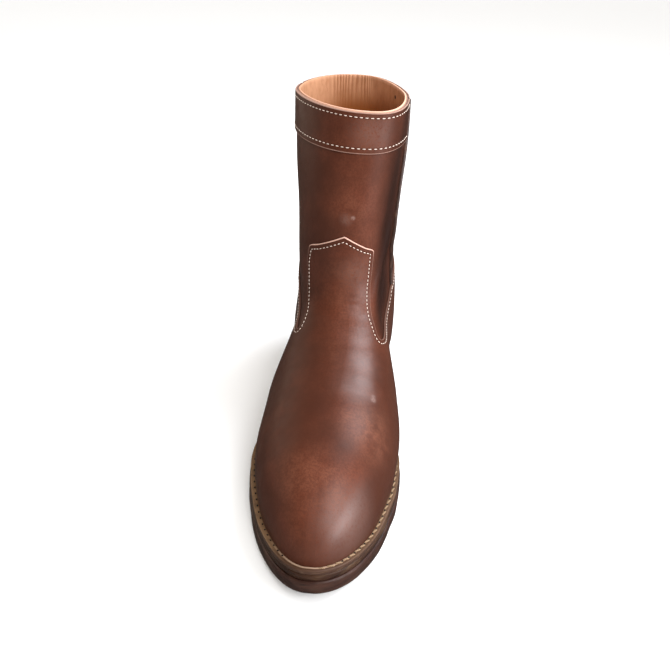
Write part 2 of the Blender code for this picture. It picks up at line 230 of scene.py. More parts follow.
# Rings of the upper: a hub inside the boot, the aim of its front point, and the rise of its back point
RINGS = table(
    "level hub_y hub_z aim_y aim_z back",
    [
        (0.00, 54, 46, -148, 20, 0),
        (0.12, 54, 46, -148, 44, 14),
        (0.24, 54, 46, -123, 75, 30),
        (0.38, 54, 46, -59, 101, 49),
        (0.50, 59, 59, -5, 136, 74),
        (0.62, 74, 118, 0, 162, 103),
        (1.00, 74, RIM_HEIGHT, 0, RIM_HEIGHT, RIM_HEIGHT),
    ],
)
BOW_LEVEL = 0.40
# Where the toe, the back and the sides of the form are looked for, and the share of the levels at each end
# over which its normal turns level
TOE_FROM, BACK_FROM, ENDS_TO, SIDES_TO = 50.0, 80.0, 200.0, 90.0
LEVEL_OUT = 0.03
TOE_Y = -edge_of(lambda s: on_middle(-s, feather(-s)), TOE_FROM, ENDS_TO)
SEAT_Y = edge_of(lambda s: on_middle(s, feather(s)), BACK_FROM, ENDS_TO)
RINGS["aim_y"][0], RINGS["aim_z"][0] = TOE_Y, feather(TOE_Y)
RINGS["back"][:-1] += feather(SEAT_Y)


def ring_ends(level):
    """Front and back points (y, z) of the ring at each level."""
    hub_y, hub_z, aim_y, aim_z, back_z = (along(RINGS, column, level) for column in list(RINGS)[1:])
    run, climb = aim_y - hub_y, aim_z - hub_z
    zero = np.zeros_like(hub_y)
    reach = edge_of(lambda s: on_middle(hub_y + s * run, hub_z + s * climb), zero, zero + 2)
    back_y = edge_of(lambda s: on_middle(s, back_z), zero + BACK_FROM, zero + ENDS_TO)
    return hub_y + reach * run, hub_z + reach * climb, back_y, back_z


def skin(turn, level):
    """Bare outer face: on the ring of a level, y and z go from its front point to its back point as
    1 - cos of the turn, and x is where the form ends."""
    level = np.asarray(level, float)
    turn, level, front_y, front_z, back_y, back_z = np.broadcast_arrays(turn, level, *ring_ends(level))
    share = (1 - np.cos(2 * np.pi * turn)) / 2
    y = front_y + (back_y - front_y) * share
    bow = feather(y) - feather(front_y) - (feather(back_y) - feather(front_y)) * share
    z = front_z + (back_z - front_z) * share + bow * np.clip(1 - level / BOW_LEVEL, 0, 1)
    side = np.where(turn % 1 <= 0.5, 1.0, -1.0)
    x = middle(y, z)
    reach = edge_of(lambda s: form(x + side * s, y, z), np.zeros_like(y), np.full_like(y, SIDES_TO))
    reach = np.where(np.minimum(share, 1 - share) < TINY, 0.0, reach)
    return np.stack([x + side * reach, y, z], -1)


def outward(points, level):
    """Unit slope of the form, turned level at the feather line and at the rim."""
    x, y, z = points[..., 0], points[..., 1], points[..., 2]
    step = 0.2
    slope = [
        form(x + step, y, z) - form(x - step, y, z),
        form(x, y + step, z) - form(x, y - step, z),
        form(x, y, z + step) - form(x, y, z - step),
    ]
    normal = np.stack(slope, -1)
    normal[..., 2] *= np.clip(np.minimum(level, 1 - level) / LEVEL_OUT, 0, 1)
    return normal / np.linalg.norm(normal, axis=-1, keepdims=True)


# Folds, each from one spot on the face to another: half width and depth, under 0 for a trough
FOLDS = table(
    "turn level to_turn to_level wide deep",
    [
        (0.150, 0.800, 0.108, 0.520, 7.0, -0.8),
        (0.172, 0.760, 0.126, 0.500, 5.0, 1.0),
        (0.178, 0.620, 0.150, 0.450, 6.0, -1.5),
        (0.015, 0.352, 0.112, 0.294, 6.0, -0.45),
        (0.040, 0.374, 0.118, 0.320, 9.0, 0.35),
        (-0.078, 0.470, 0.020, 0.452, 7.0, -0.6),
        (0.012, 0.520, 0.066, 0.516, 1.5, -0.22),
        (0.008, 0.500, 0.060, 0.494, 1.6, -0.26),
        (0.016, 0.478, 0.070, 0.471, 1.5, -0.24),
        (0.010, 0.456, 0.076, 0.447, 1.7, -0.28),
        (0.026, 0.432, 0.084, 0.424, 1.6, -0.22),
        (0.030, 0.408, 0.092, 0.398, 1.8, -0.22),
    ],
)
FOLD_LIPS = 0.6
FOLD_STARTS = skin(FOLDS["turn"], FOLDS["level"])
FOLD_ENDS = skin(FOLDS["to_turn"], FOLDS["to_level"])


def folds(points, normal):
    """Sum of the folds' depths: each is a bell along its run times a bell with raised lips across it."""
    total = np.zeros(points.shape[:-1])
    for start, end, wide, deep in zip(FOLD_STARTS, FOLD_ENDS, FOLDS["wide"], FOLDS["deep"]):
        away = points - (start + end) / 2
        half = np.linalg.norm(end - start) / 2
        run = away @ ((end - start) / (2 * half))
        rise = (away * normal).sum(-1)
        across = np.maximum((away**2).sum(-1) - run**2 - rise**2, 0) / wide**2
        total += deep * np.exp(-((run / half) ** 4)) * (1 - FOLD_LIPS * across) * np.exp(-across)
    return total


def face(turn, level, lift=0.0):
    """The outer face with its folds, moved out along its normal by a lift; also gives the normal."""
    points = skin(turn, level)
    level = np.broadcast_to(level, points.shape[:-1])
    normal = outward(points, level)
    out = np.broadcast_to(lift, points.shape[:-1]) + folds(points, normal)
    return points + normal * out[..., None], normal


def quads(numbers):
    """Quads between neighbours of a grid of point numbers."""
    corners = [numbers[:-1, :-1], numbers[:-1, 1:], numbers[1:, 1:], numbers[1:, :-1]]
    return np.stack(corners, -1).reshape(-1, 4)


def grid_faces(count, wide, closed_round=False, closed_over=False):
    """Quads of a grid of points, numbered row by row."""
    numbers = np.arange(count * wide).reshape(count, wide)
    if closed_round:
        numbers = np.hstack([numbers, numbers[:, :1]])
    if closed_over:
        numbers = np.vstack([numbers, numbers[:1]])
    return quads(numbers)


MM = 0.001
WELD = 0.0002
NO_EDGE = 99.0


def piece(name, points, faces, material, node=None, slot=None, **marks):
    """A piece of the boot: keeps its marks as attributes of its points, welds its mesh and rides on the
    frame. A mark is a value for each point, or for each row or column of a grid of points."""
    mesh = bpy.data.meshes.new(name)
    mesh.from_pydata(np.reshape(points, (-1, 3)) * MM, [], np.reshape(faces, (-1, 4)))
    for mark, values in marks.items():
        values = np.broadcast_to(values, np.shape(points)[:-1]).astype(np.float32)
        mesh.attributes.new(mark, "FLOAT", "POINT").data.foreach_set("value", values.ravel())
    welded = bmesh.new()
    welded.from_mesh(mesh)
    bmesh.ops.remove_doubles(welded, verts=welded.verts, dist=WELD * MM)
    welded.to_mesh(mesh)
    welded.free()
    mesh.shade_smooth()
    mesh.materials.append(material)
    made = bpy.data.objects.new(name, mesh)
    bpy.context.scene.collection.objects.link(made)
    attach(made, "root")
    if node:
        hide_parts(node)


def new_material(name):
    """A material with its node tree and its shader."""
    made = bpy.data.materials.new(name)
    made.use_nodes = True
    return made, made.node_tree, made.node_tree.nodes["Principled BSDF"]


def fill(node, inputs):
    """Sets the inputs of a node: each one is a value, or the output that it is linked to."""
    for key, value in inputs.items():
        if isinstance(value, bpy.types.NodeSocket):
            node.id_data.links.new(value, node.inputs[key])
        else:
            node.inputs[key].default_value = value


def add(tree, kind, inputs, **settings):
    """A node with its settings and its inputs."""
    made = tree.nodes.new(kind)
    for key, value in settings.items():
        setattr(made, key, value)
    fill(made, inputs)
    return made


def object_place(tree, stretch=(1, 1, 1)):
    """Place on the piece, in metres, stretched along its axes."""
    place = add(tree, "ShaderNodeTexCoord", {}).outputs["Object"]
    return add(tree, "ShaderNodeMapping", {"Vector": place, "Scale": stretch}).outputs["Vector"]


def marked(tree, mark):
    """A piece's mark, read back from its points."""
    return add(tree, "ShaderNodeAttribute", {}, attribute_name=mark).outputs["Fac"]


def cloud(place, scale, detail=3.0, rough=0.5):
    """Soft noise from 0 to 1 with so many swells in a metre."""
    inputs = {"Vector": place, "Scale": scale, "Detail": detail, "Roughness": rough}
    return add(place.id_data, "ShaderNodeTexNoise", inputs).outputs["Fac"]


def ramp(value, low, high, to_low=0.0, to_high=1.0):
    """A value read between low and high and given between two others, smooth at both ends."""
    inputs = {"Value": value, 1: low, 2: high, 3: to_low, 4: to_high}
    return add(value.id_data, "ShaderNodeMapRange", inputs, interpolation_type="SMOOTHSTEP").outputs[0]


def mixed(share, first, second):
    """Two colours mixed by a share."""
    inputs = {0: share, 6: first, 7: second}
    return add(share.id_data, "ShaderNodeMix", inputs, data_type="RGBA").outputs[2]


def worked(how, first, second=0.0):
    """Two values brought together by one operation."""
    return add(first.id_data, "ShaderNodeMath", {0: first, 1: second}, operation=how).outputs[0]


def times(first, second):
    """Product of two values."""
    return worked("MULTIPLY", first, second)


def raised(height, strength, distance):
    """Normal of a surface that is raised by a height."""
    inputs = {"Height": height, "Strength": strength, "Distance": distance}
    return add(height.id_data, "ShaderNodeBump", inputs).outputs[0]


def spotted(tree, spots):
    """How strongly a point is touched by round spots on the face, each fading out at its own width."""
    place = object_place(tree)
    touched = None
    for spot, wide, strong in zip(skin(spots["turn"], spots["level"]), spots["wide"], spots["strong"]):
        inputs = {0: place, 1: tuple(spot * MM)}
        away = add(tree, "ShaderNodeVectorMath", inputs, operation="DISTANCE").outputs["Value"]
        near = ramp(away, 0.0, wide * MM, strong, 0.0)
        touched = worked("MAXIMUM", touched, near) if touched else near
    return touched


BROWN = (0.108, 0.0292, 0.0150, 1)
DARK_BROWN = (0.055, 0.0165, 0.0090, 1)
WARM_BROWN = (0.176, 0.060, 0.033, 1)
FOLD_SHADE_BROWN = (0.0150, 0.0052, 0.0034, 1)
CUT_TAN = (0.62, 0.385, 0.305, 1)
SCUFF_AND_HIGHLIGHT_GREY = (0.36, 0.25, 0.22, 1)
# Painted light and shade: the front of the boot is painted lighter than its sides, which are painted darker:
# where it is lightest, its fade to both sides, and how much further it reaches to the outer side over the
# foot, between two heights
LIGHT_X, OUTER_FADE, INNER_FADE = 18.0, 48.0, 21.0
FOOT_SHIFT, FOOT_FROM, FOOT_TO = 22.0, 55.0, 95.0
# Painted shade: between these heights the leather is painted darker towards the welt
LOW_FROM, LOW_TO = 24.0, 60.0
# Patches, mottles, specks and pores of the leather in a metre
PATCHES, MOTTLES, SPECKS, PORES = 30.0, 110.0, 700.0, 1300.0
# Spots that are rubbed pale or painted pale as highlights, warm in the leather's own patches and in painted
# light, or dark,
# or polished: where they are, how wide and how strong
SCUFFS_AND_HIGHLIGHTS = table(
    "turn level wide strong",
    [
        (0.1090, 0.296, 3.4, 0.45),
        (0.1070, 0.303, 3.0, 0.35),
        (0.0139, 0.733, 2.3, 0.45),
        (-0.0014, 0.728, 6.5, 0.12),
        (0.0120, 0.955, 22.0, 0.13),
        (0.0420, 0.585, 20.0, 0.10),
        (0.0680, 0.135, 36.0, 0.12),
    ],
)
# Warm spots: partly the leather's own warm patches and partly painted light
WARM_PATCHES_AND_LIGHT = table(
    "turn level wide strong",
    [
        (0.001, 0.950, 24.0, 0.35),
        (0.007, 0.760, 30.0, 0.35),
        (0.020, 0.590, 26.0, 0.45),
        (-0.010, 0.520, 20.0, 0.35),
        (-0.008, 0.417, 17.0, 0.40),
        (0.060, 0.280, 22.0, 0.65),
        (0.104, 0.245, 34.0, 0.70),
        (-0.032, 0.210, 34.0, 0.50),
        (0.021, 0.200, 30.0, 0.55),
        (0.042, 0.160, 30.0, 0.30),
        (-0.030, 0.130, 30.0, 0.25),
    ],
)
CLOUDED = table(
    "turn level wide strong",
    [
        (-0.089, 0.810, 36.0, 0.60),
        (-0.080, 0.690, 34.0, 0.50),
        (-0.057, 0.453, 13.0, 0.60),
        (-0.115, 0.427, 17.0, 0.70),
        (-0.082, 0.393, 24.0, 0.65),
        (-0.030, 0.370, 40.0, 0.35),
        (-0.050, 0.315, 28.0, 1.00),
        (0.002, 0.275, 24.0, 1.00),
        (0.047, 0.248, 20.0, 0.90),
    ],
)
POLISH = table(
    "turn level wide strong",
    [
        (0.066, 0.130, 36.0, 1.0),
        (0.034, 0.520, 20.0, 0.8),
        (0.037, 0.475, 20.0, 1.0),
        (0.042, 0.435, 22.0, 0.9),
        (0.060, 0.388, 26.0, 1.0),
        (0.050, 0.356, 26.0, 1.0),
        (0.104, 0.250, 34.0, 0.40),
    ],
)
# Painted shade: the fold by the inner side seam is painted dark as its shade, from the foot to the rim
FOLD_SHADE_STEPS = 90
FOLD_SHADE = table(
    "level turn wide strong",
    [
        (0.400, 0.156, 9.0, 0.50),
        (0.440, 0.152, 15.0, 0.90),
        (0.500, 0.150, 21.0, 1.00),
        (0.580, 0.147, 22.0, 1.00),
        (0.660, 0.146, 23.0, 0.95),
        (0.760, 0.149, 23.0, 0.88),
        (0.880, 0.158, 21.0, 0.80),
        (1.000, 0.172, 18.0, 0.65),
    ],
)


def burnt(points):
    """How much painted shade of the fold each point takes: strong on its line, down to 0 at its width, smooth
    at both ends.
    """
    climb = np.linspace(FOLD_SHADE["level"][0], FOLD_SHADE["level"][-1], FOLD_SHADE_STEPS)
    line, total = skin(along(FOLD_SHADE, "turn", climb), climb), np.zeros(np.shape(points)[:-1])
    for spot, wide, strong in zip(line, along(FOLD_SHADE, "wide", climb), along(FOLD_SHADE, "strong", climb)):
        near = np.clip(1 - np.linalg.norm(points - spot, axis=-1) / wide, 0, 1)
        total = np.maximum(total, strong * eased(near))
    return total


def oiled_leather(name, edge_stitch):
    """Brown leather, painted lighter down its front and darker at its sides as painted light and shade,
    polished on the toe and instep, that pales where it is rubbed and where highlights are painted, warms in
    patches and in painted light, takes painted shade along the fold by the inner seam and low towards the
    welt, darkens along its sewn edges, and shows a tan cut edge beside a groove for the stitches."""
    material, tree, shader = new_material(name)
    place = object_place(tree)
    patches = cloud(place, PATCHES, 4.0, 0.6)
    mottle = ramp(cloud(place, MOTTLES, 4.0, 0.6), 0.30, 0.70)
    specks = cloud(place, SPECKS, 4.0, 0.7)
    pores = add(tree, "ShaderNodeTexVoronoi", {"Vector": place, "Scale": PORES}).outputs["Distance"]
    across, _, height = add(tree, "ShaderNodeSeparateXYZ", {0: place}).outputs
    # Painted light and shade: lightest down the front, painted darker to both sides, reaching further round
    # the outer side over the foot
    shift = ramp(height, FOOT_FROM * MM, FOOT_TO * MM, FOOT_SHIFT * MM, 0.0)
    outer = ramp(worked("ADD", across, shift), (LIGHT_X - OUTER_FADE) * MM, LIGHT_X * MM)
    inner = ramp(across, LIGHT_X * MM, (LIGHT_X + INNER_FADE) * MM, 1.0, 0.0)
    light = times(times(outer, inner), 0.86)
    light = worked("ADD", light, ramp(patches, 0.30, 0.70, -0.34, 0.26))
    colour = mixed(light, DARK_BROWN, BROWN)
    # The warm brown follows the warm spots and, as painted light, the lighter front
    warm_and_lit = worked("MAXIMUM", spotted(tree, WARM_PATCHES_AND_LIGHT), times(light, 0.22))
    colour = mixed(times(ramp(mottle, 0.0, 1.0, 0.25, 1.0), warm_and_lit), colour, WARM_BROWN)
    dark = times(spotted(tree, CLOUDED), ramp(patches, 0.30, 0.65, 1.0, 0.45))
    # Painted shade low on the boot, towards the welt
    low = ramp(height, LOW_FROM * MM, LOW_TO * MM, 0.62, 0.0)
    for share in (dark, ramp(specks, 0.40, 0.62, 0.0, 0.42), low):
        colour = mixed(share, colour, DARK_BROWN)
    # Painted shade of the fold by the inner side seam
    colour = mixed(marked(tree, "burnt"), colour, FOLD_SHADE_BROWN)
    # Pale grey: real scuffs, and wide soft painted highlights on the band and the toe
    colour = mixed(times(spotted(tree, SCUFFS_AND_HIGHLIGHTS), ramp(specks, 0.30, 0.55)), colour, SCUFF_AND_HIGHLIGHT_GREY)
    edge = marked(tree, "edge")
    groove = ramp(worked("ABSOLUTE", worked("SUBTRACT", edge, edge_stitch)), 0.25, 0.95, 1.0, 0.0)
    for share in (ramp(edge, 0.3, 3.6, 0.40, 0.0), times(groove, 0.5)):
        colour = mixed(share, colour, DARK_BROWN)
    cut = times(ramp(edge, 0.02, 0.34, 1.0, 0.0), marked(tree, "raw"))
    grain = worked("ADD", times(pores, 0.5), times(specks, 0.8))
    inputs = {
        "Base Color": mixed(cut, colour, CUT_TAN),
        "Roughness": worked("ADD", ramp(mottle, 0.0, 1.0, 0.40, 0.48), times(cut, 0.3)),
        "Specular IOR Level": 0.10,
        "Coat Weight": worked("MAXIMUM", spotted(tree, POLISH), 0.05),
        "Coat Roughness": 0.41,
        "Normal": raised(worked("SUBTRACT", grain, times(groove, 2.5)), 0.32, 0.0002),
    }
    fill(shader, inputs)
    return material


STITCH_INSET = 3.0
SHELL = 1.0
RIM_ROUND = 0.35
RIM_RAW = 0.52
UPPER_AROUND = 360
UPPER_LEVELS = 130
UPPER_TOP = 0.9975
upper_leather = oiled_leather("oiled_leather", STITCH_INSET)

# Over the rim of a wall: how far in, as a share of its thickness, and how far down, as one of its round
OVER_RIM = table("into fall", [(0.10, 0.3), (0.28, 0.0), (0.72, 0.0), (0.90, 0.3)])


def wall(turns, levels, thick, lift, bend=0.0):
    """A closed wall: up its outer face, over its rounded rim and down its inner face, carried all round."""
    fall = np.zeros(len(levels))
    fall[-1] = 1.0
    inner = levels[::-1]
    rows = np.concatenate([levels, levels[-1] + 0 * OVER_RIM["into"], inner])
    depth = np.concatenate([0 * levels, OVER_RIM["into"], 1 + 0 * inner])
    fall = np.concatenate([fall, OVER_RIM["fall"], fall[::-1]])
    points, _ = face(turns, rows[:, None], lift - thick * depth[:, None] + bend)
    points[..., 2] -= RIM_ROUND * fall[:, None]
    return points, grid_faces(*points.shape[:2], closed_round=True, closed_over=True)


turns = np.arange(UPPER_AROUND) / UPPER_AROUND
points, faces = wall(turns, np.linspace(0, UPPER_TOP, UPPER_LEVELS), SHELL, 0.0)
raw = np.zeros((len(points), 1))
raw[UPPER_LEVELS:-UPPER_LEVELS] = RIM_RAW
marks = {"edge": np.where(raw > 0, 0.0, NO_EDGE), "raw": raw, "burnt": burnt(points)}
piece("upper", points, faces, upper_leather, "upper", "upper", **marks)

# Lining.
# A thin, smooth leather in its natural tan, glued inside the upper and left raw at the rim. It puckers at
# the back, where the shaft was turned, and has one pinhole behind the inner seam.
LINING = 1.2
LINING_GAP = 0.05
LINING_LOW = 0.004
LINING_AROUND, LINING_LEVELS = 440, 104
CLOSER_BACK = 0.09
# Puckers: where they are on the rim, how many go round it, how deep and how far down they go, how far they
# stray from even steps at the rim and below it, and how their shade changes; waves are radians in a turn
PUCKER_TURN, PUCKER_HALF, PUCKER_COUNT = 0.520, 0.072, 92.0
PUCKER_DEEP, PUCKER_LEVEL, PUCKER_FALL = 0.7, 0.945, 0.0125
PUCKER_STRAY, PUCKER_LEAN = 0.004, 0.02
STRAY_WAVES, LEAN_WAVES = 70, 40
UNEVEN, UNEVEN_WAVES, FINE_WAVES = 0.4, 61, 143
PINHOLE = table("turn level wide strong", [(0.321, 0.970, 3.9, 1.0)])
# Below the rim the lining is painted darker as shade that deepens down the shaft, least on the outer side,
# whose wall catches the light
DEPTH_SHADE_FROM, DEPTH_SHADE_TO = 0.985, 0.90
DEPTH_SHADE_SIDE = table(
    "turn used",
    [
        (0.00, 1.00),
        (0.25, 0.85),
        (0.45, 1.00),
        (0.53, 1.00),
        (0.58, 0.70),
        (0.66, 0.25),
        (0.85, 0.25),
        (1.00, 1.00),
    ],
)
# How pale its raw edge is left, round the rim
LINING_RAW = table(
    "turn pale",
    [(0.0, 1.0), (0.20, 1.0), (0.34, 0.75), (0.45, 0.15), (0.70, 0.15), (0.85, 0.8), (1.0, 1.0)],
)
TAN = (0.620, 0.320, 0.180, 1)
DEEP_TAN = (0.245, 0.076, 0.019, 1)
PALE_TAN = (0.800, 0.480, 0.345, 1)
# Painted shade of the pinhole: a dark spot where the mesh has no hole
PINHOLE_SHADE = (0.02, 0.01, 0.008, 1)


def natural_leather(name, grain, stretch=(1, 1, 1)):
    """Undyed tan leather: slow clouds of deeper tan, fine wrinkles, pale where it is cut, with
    painted shade deep in its puckers and down inside the shaft."""
    material, tree, shader = new_material(name)
    place = object_place(tree, stretch)
    clouds = ramp(cloud(place, 30.0, 4.0, 0.6), 0.3, 0.7)
    wisps = cloud(place, 260.0, 4.0, 0.65)
    colour = mixed(times(clouds, 0.22), TAN, DEEP_TAN)
    pucker_shade = times(marked(tree, "pucker_shade"), 0.85)
    for share in (marked(tree, "used"), ramp(wisps, 0.35, 0.75, 0.0, 0.35), pucker_shade):
        colour = mixed(share, colour, DEEP_TAN)
    colour = mixed(marked(tree, "raw"), colour, PALE_TAN)
    inputs = {
        "Base Color": mixed(ramp(spotted(tree, PINHOLE), 0.15, 0.35), colour, PINHOLE_SHADE),
        "Roughness": ramp(wisps, 0.2, 0.8, 0.60, 0.78),
        "Specular IOR Level": 0.2,
        "Normal": raised(worked("ADD", wisps, cloud(place, 1100.0, 2.0)), grain, 0.0003),
    }
    fill(shader, inputs)
    return material


even = np.arange(LINING_AROUND) / LINING_AROUND
turns = even + CLOSER_BACK * np.sin(2 * np.pi * even)
levels = np.linspace(LINING_LOW, 1, LINING_LEVELS)
rows = np.concatenate([levels, np.ones(len(OVER_RIM["into"])), levels[::-1]])[:, None]
near = np.exp(-(((turns - PUCKER_TURN) / PUCKER_HALF) ** 4))
near = near / (1 + np.exp((PUCKER_LEVEL - rows) / PUCKER_FALL))
stray = PUCKER_STRAY * np.sin(STRAY_WAVES * turns)
stray = stray + PUCKER_LEAN * (rows - 1) * np.sin(LEAN_WAVES * turns)
wave = np.abs(np.sin(np.pi * PUCKER_COUNT * (turns + stray)))
points, faces = wall(turns, levels, LINING, -SHELL - LINING_GAP, -PUCKER_DEEP * near * wave)
raw = np.zeros((len(rows), 1))
raw[LINING_LEVELS - 1 : -LINING_LEVELS + 1] = 1.0
uneven = 1 - UNEVEN + UNEVEN * np.sin(UNEVEN_WAVES * turns + 2 * np.sin(FINE_WAVES * turns))
# Painted shade that deepens below the rim
deep = np.clip((DEPTH_SHADE_FROM - rows) / (DEPTH_SHADE_FROM - DEPTH_SHADE_TO), 0, 1)
# Painted shade in the troughs of the puckers
marks = {
    "raw": raw * along(LINING_RAW, "pale", turns),
    "pucker_shade": near * uneven * (1 - wave) ** 1.5,
    "used": eased(deep) * along(DEPTH_SHADE_SIDE, "used", turns),
}
lining_leather = natural_leather("lining_leather", 0.25, (1, 1, 0.35))
piece("lining", points, faces, lining_leather, None, "insole", **marks)

# Vamp.
# A single cut of the same leather over the toe and instep, skived at its edge and laid on the upper. It
# runs up the front into a pointed tongue and back along both sides to the joint with the counter.
OVERLAY = 1.3
OVERLAY_LIFT = 0.1
EDGE_ROUND = 0.42
EDGE_CLEAR = 0.1
EDGE_ANGLES = np.radians([0, 25, 50, 75])
BATCH = 4000
JOINT = 0.0012
TIP_COLUMNS, SIDE_COLUMNS, VAMP_ROWS = 20, 104, 116
# Upper edge on both sides, from the tip of the tongue by its corner and down its side, round under the
# shaft's front panel and up to the side seam; foot is the turn below on the feather line
VAMP_EDGE = table(
    "step medial lateral level foot",
    [
        (0, 0.0000, 0.0000, 0.679, 0.0000),
        (1, 0.0285, 0.0343, 0.662, 0.0100),
        (2, 0.0570, 0.0687, 0.646, 0.0200),
        (3, 0.0855, 0.1030, 0.629, 0.0300),
        (4, 0.0860, 0.1110, 0.580, 0.0400),
        (5, 0.0815, 0.1160, 0.530, 0.0520),
        (6, 0.0810, 0.1200, 0.490, 0.0660),
        (7, 0.0880, 0.1250, 0.460, 0.0830),
        (8, 0.1020, 0.1310, 0.434, 0.1030),
        (9, 0.1180, 0.1400, 0.414, 0.1250),
        (10, 0.1360, 0.1530, 0.401, 0.1480),
        (11, 0.1550, 0.1690, 0.394, 0.1720),
        (12, 0.1730, 0.1860, 0.396, 0.1970),
        (13, 0.1860, 0.1990, 0.406, 0.2220),
        (14, 0.1940, 0.2080, 0.424, 0.2460),
        (15, 0.1990, 0.2130, 0.448, 0.2700),
        (16, 0.2020, 0.2160, 0.475, 0.2925),
    ],
)
# How pale the cut edge is left along those steps
VAMP_RAW = table("step pale", [(0.0, 1.0), (2.9, 0.9), (3.4, 0.35), (8.0, 0.22), (16.0, 0.10)])


def between(low_turn, high_turn, high_level, count):
    """Grid of turns and levels from the feather line to an upper edge. The turn changes late."""
    share = np.linspace(0, 1, count)[:, None]
    return low_turn + (high_turn - low_turn) * share**2, high_level * share


def boundary(grid):
    """A grid's rim in one closed run: low edge, right side, top edge, left side."""
    return np.concatenate([grid[0], grid[1:, -1], grid[-1, -2::-1], grid[-2:0:-1, 0]])


def nearest(points, line):
    """Distance of each point from the nearest point of a line, a few thousand points at a time."""
    found = [
        np.sqrt(((some[:, None] - line[None]) ** 2).sum(-1).min(1))
        for some in np.array_split(points, max(1, len(points) // BATCH))
    ]
    return np.concatenate(found)


def overlay(turn, level, raw_top, raw_low=None):
    """A cut leather on the upper as one closed surface: its top grid, a cut edge that rounds over and
    drops to the upper, and its flesh side. Gives points, faces, the distance from its long cut edges and
    how pale they are; without raw_low, the low edge isn't a cut one."""
    top, normal = face(turn, level, OVERLAY_LIFT + OVERLAY)
    low = top - normal * OVERLAY
    line, up = boundary(top), boundary(normal)
    run = np.roll(line, -1, 0) - np.roll(line, 1, 0)
    out = np.cross(run, up)
    out /= np.linalg.norm(out, axis=1, keepdims=True)
    angle = EDGE_ANGLES[:, None, None]
    loops = line + out * EDGE_ROUND * np.cos(angle) - up * EDGE_ROUND * (1 - np.sin(angle))
    foot = line + out * EDGE_ROUND - up * (OVERLAY - EDGE_CLEAR)
    loops = np.concatenate([foot[None], loops])
    count, wide = turn.shape
    rim = boundary(np.arange(count * wide).reshape(count, wide))
    extra = 2 * count * wide + np.arange(loops.shape[0] * len(rim)).reshape(loops.shape[:2])
    rings = np.vstack([rim + count * wide, extra, rim])
    sides = quads(np.hstack([rings, rings[:, :1]]))
    grid = grid_faces(count, wide)
    faces = np.concatenate([grid, grid[:, ::-1] + count * wide, sides])
    points = np.concatenate([top.reshape(-1, 3), low.reshape(-1, 3), loops.reshape(-1, 3)])
    pale = np.zeros((count, wide))
    pale[-1] = raw_top
    pale[0] = 0.0 if raw_low is None else raw_low
    long_edges = top[-1] if raw_low is None else np.concatenate([top[0], top[-1]])
    on_top, below = nearest(top.reshape(-1, 3), long_edges), np.full(count * wide, NO_EDGE)
    edge = np.concatenate([on_top, below, np.zeros(extra.size)])
    raw = np.concatenate([pale.ravel(), 0 * below, np.tile(boundary(pale), len(loops))])
    return points, faces, {"edge": edge, "raw": raw}


tip, side = VAMP_EDGE["step"][3], VAMP_EDGE["step"][-1]
steps = [np.linspace(0, tip, TIP_COLUMNS, endpoint=False), np.linspace(tip, side, SIDE_COLUMNS)]
steps = np.concatenate(steps)
inner, outer, height, below = (along(VAMP_EDGE, column, steps) for column in list(VAMP_EDGE)[1:])
for row in (inner, outer, below):
    row[-1] -= JOINT
vamp_turn = np.concatenate([-outer[:0:-1], inner])
vamp_level = np.concatenate([height[:0:-1], height])
vamp_foot = np.concatenate([-below[:0:-1], below])
pale = along(VAMP_RAW, "pale", np.concatenate([steps[:0:-1], steps]))
points, faces, marks = overlay(*between(vamp_foot, vamp_turn, vamp_level, VAMP_ROWS), pale)
piece("vamp", points, faces, upper_leather, "vamp", "vamp", burnt=burnt(points), **marks)

# Counter.
# The back of the foot, cut from the same leather. It meets the vamp under each side seam and runs level
# round the heel, over a stiffener that doesn't show.
COUNTER_TOP = 0.505
CLIMB = 0.05
COUNTER_RAW = 0.12
COUNTER_COLUMNS, COUNTER_ROWS = 260, 84
medial_end, lateral_end, end_level, end_foot = (VAMP_EDGE[column][-1] for column in list(VAMP_EDGE)[1:])
counter_turn = np.linspace(medial_end + JOINT, 1 - lateral_end - JOINT, COUNTER_COLUMNS)
foot = np.linspace(end_foot + JOINT, 1 - end_foot - JOINT, COUNTER_COLUMNS)
climb = np.clip(np.minimum(counter_turn - medial_end, 1 - lateral_end - counter_turn) / CLIMB, 0, 1)
counter_level = end_level + (COUNTER_TOP - end_level) * eased(climb)
points, faces, marks = overlay(*between(foot, counter_turn, counter_level, COUNTER_ROWS), COUNTER_RAW)
piece("counter", points, faces, upper_leather, "counter", "counter", burnt=burnt(points), **marks)

# Side seams.
# Front and back of the shaft meet at the sides in a piping: a narrow strip of dark leather folded round a
# cord, from just over the counter to the rim.
SEAM = table(
    "level medial lateral",
    [
        (0.480, 0.2035, 0.284),
        (0.520, 0.197, 0.284),
        (0.620, 0.183, 0.285),
        (0.750, 0.186, 0.288),
        (0.880, 0.201, 0.297),
        (1.000, 0.222, 0.313),
    ],
)
SEAM_FOOT = {"medial": 0.481, "lateral": 0.509}
SEAM_HALF = 0.005
PIPING = 2.2
SEAM_ROWS, SEAM_SIDES = 220, 20
PIPING_BROWN = (0.030, 0.0125, 0.0085, 1)
PIPING_WORN = (0.085, 0.038, 0.022, 1)


def piping_leather():
    """Dark thin leather, fine in grain, worn a little paler in streaks along the fold."""
    material, tree, shader = new_material("piping_leather")
    place = object_place(tree, (1, 1, 0.3))
    worn = ramp(cloud(place, 420.0, 3.0, 0.6), 0.45, 0.75)
    inputs = {
        "Base Color": mixed(worn, PIPING_BROWN, PIPING_WORN),
        "Roughness": ramp(worn, 0.0, 1.0, 0.40, 0.58),
        "Normal": raised(cloud(object_place(tree), 1500.0, 3.0, 0.6), 0.25, 0.0003),
    }
    fill(shader, inputs)
    return material


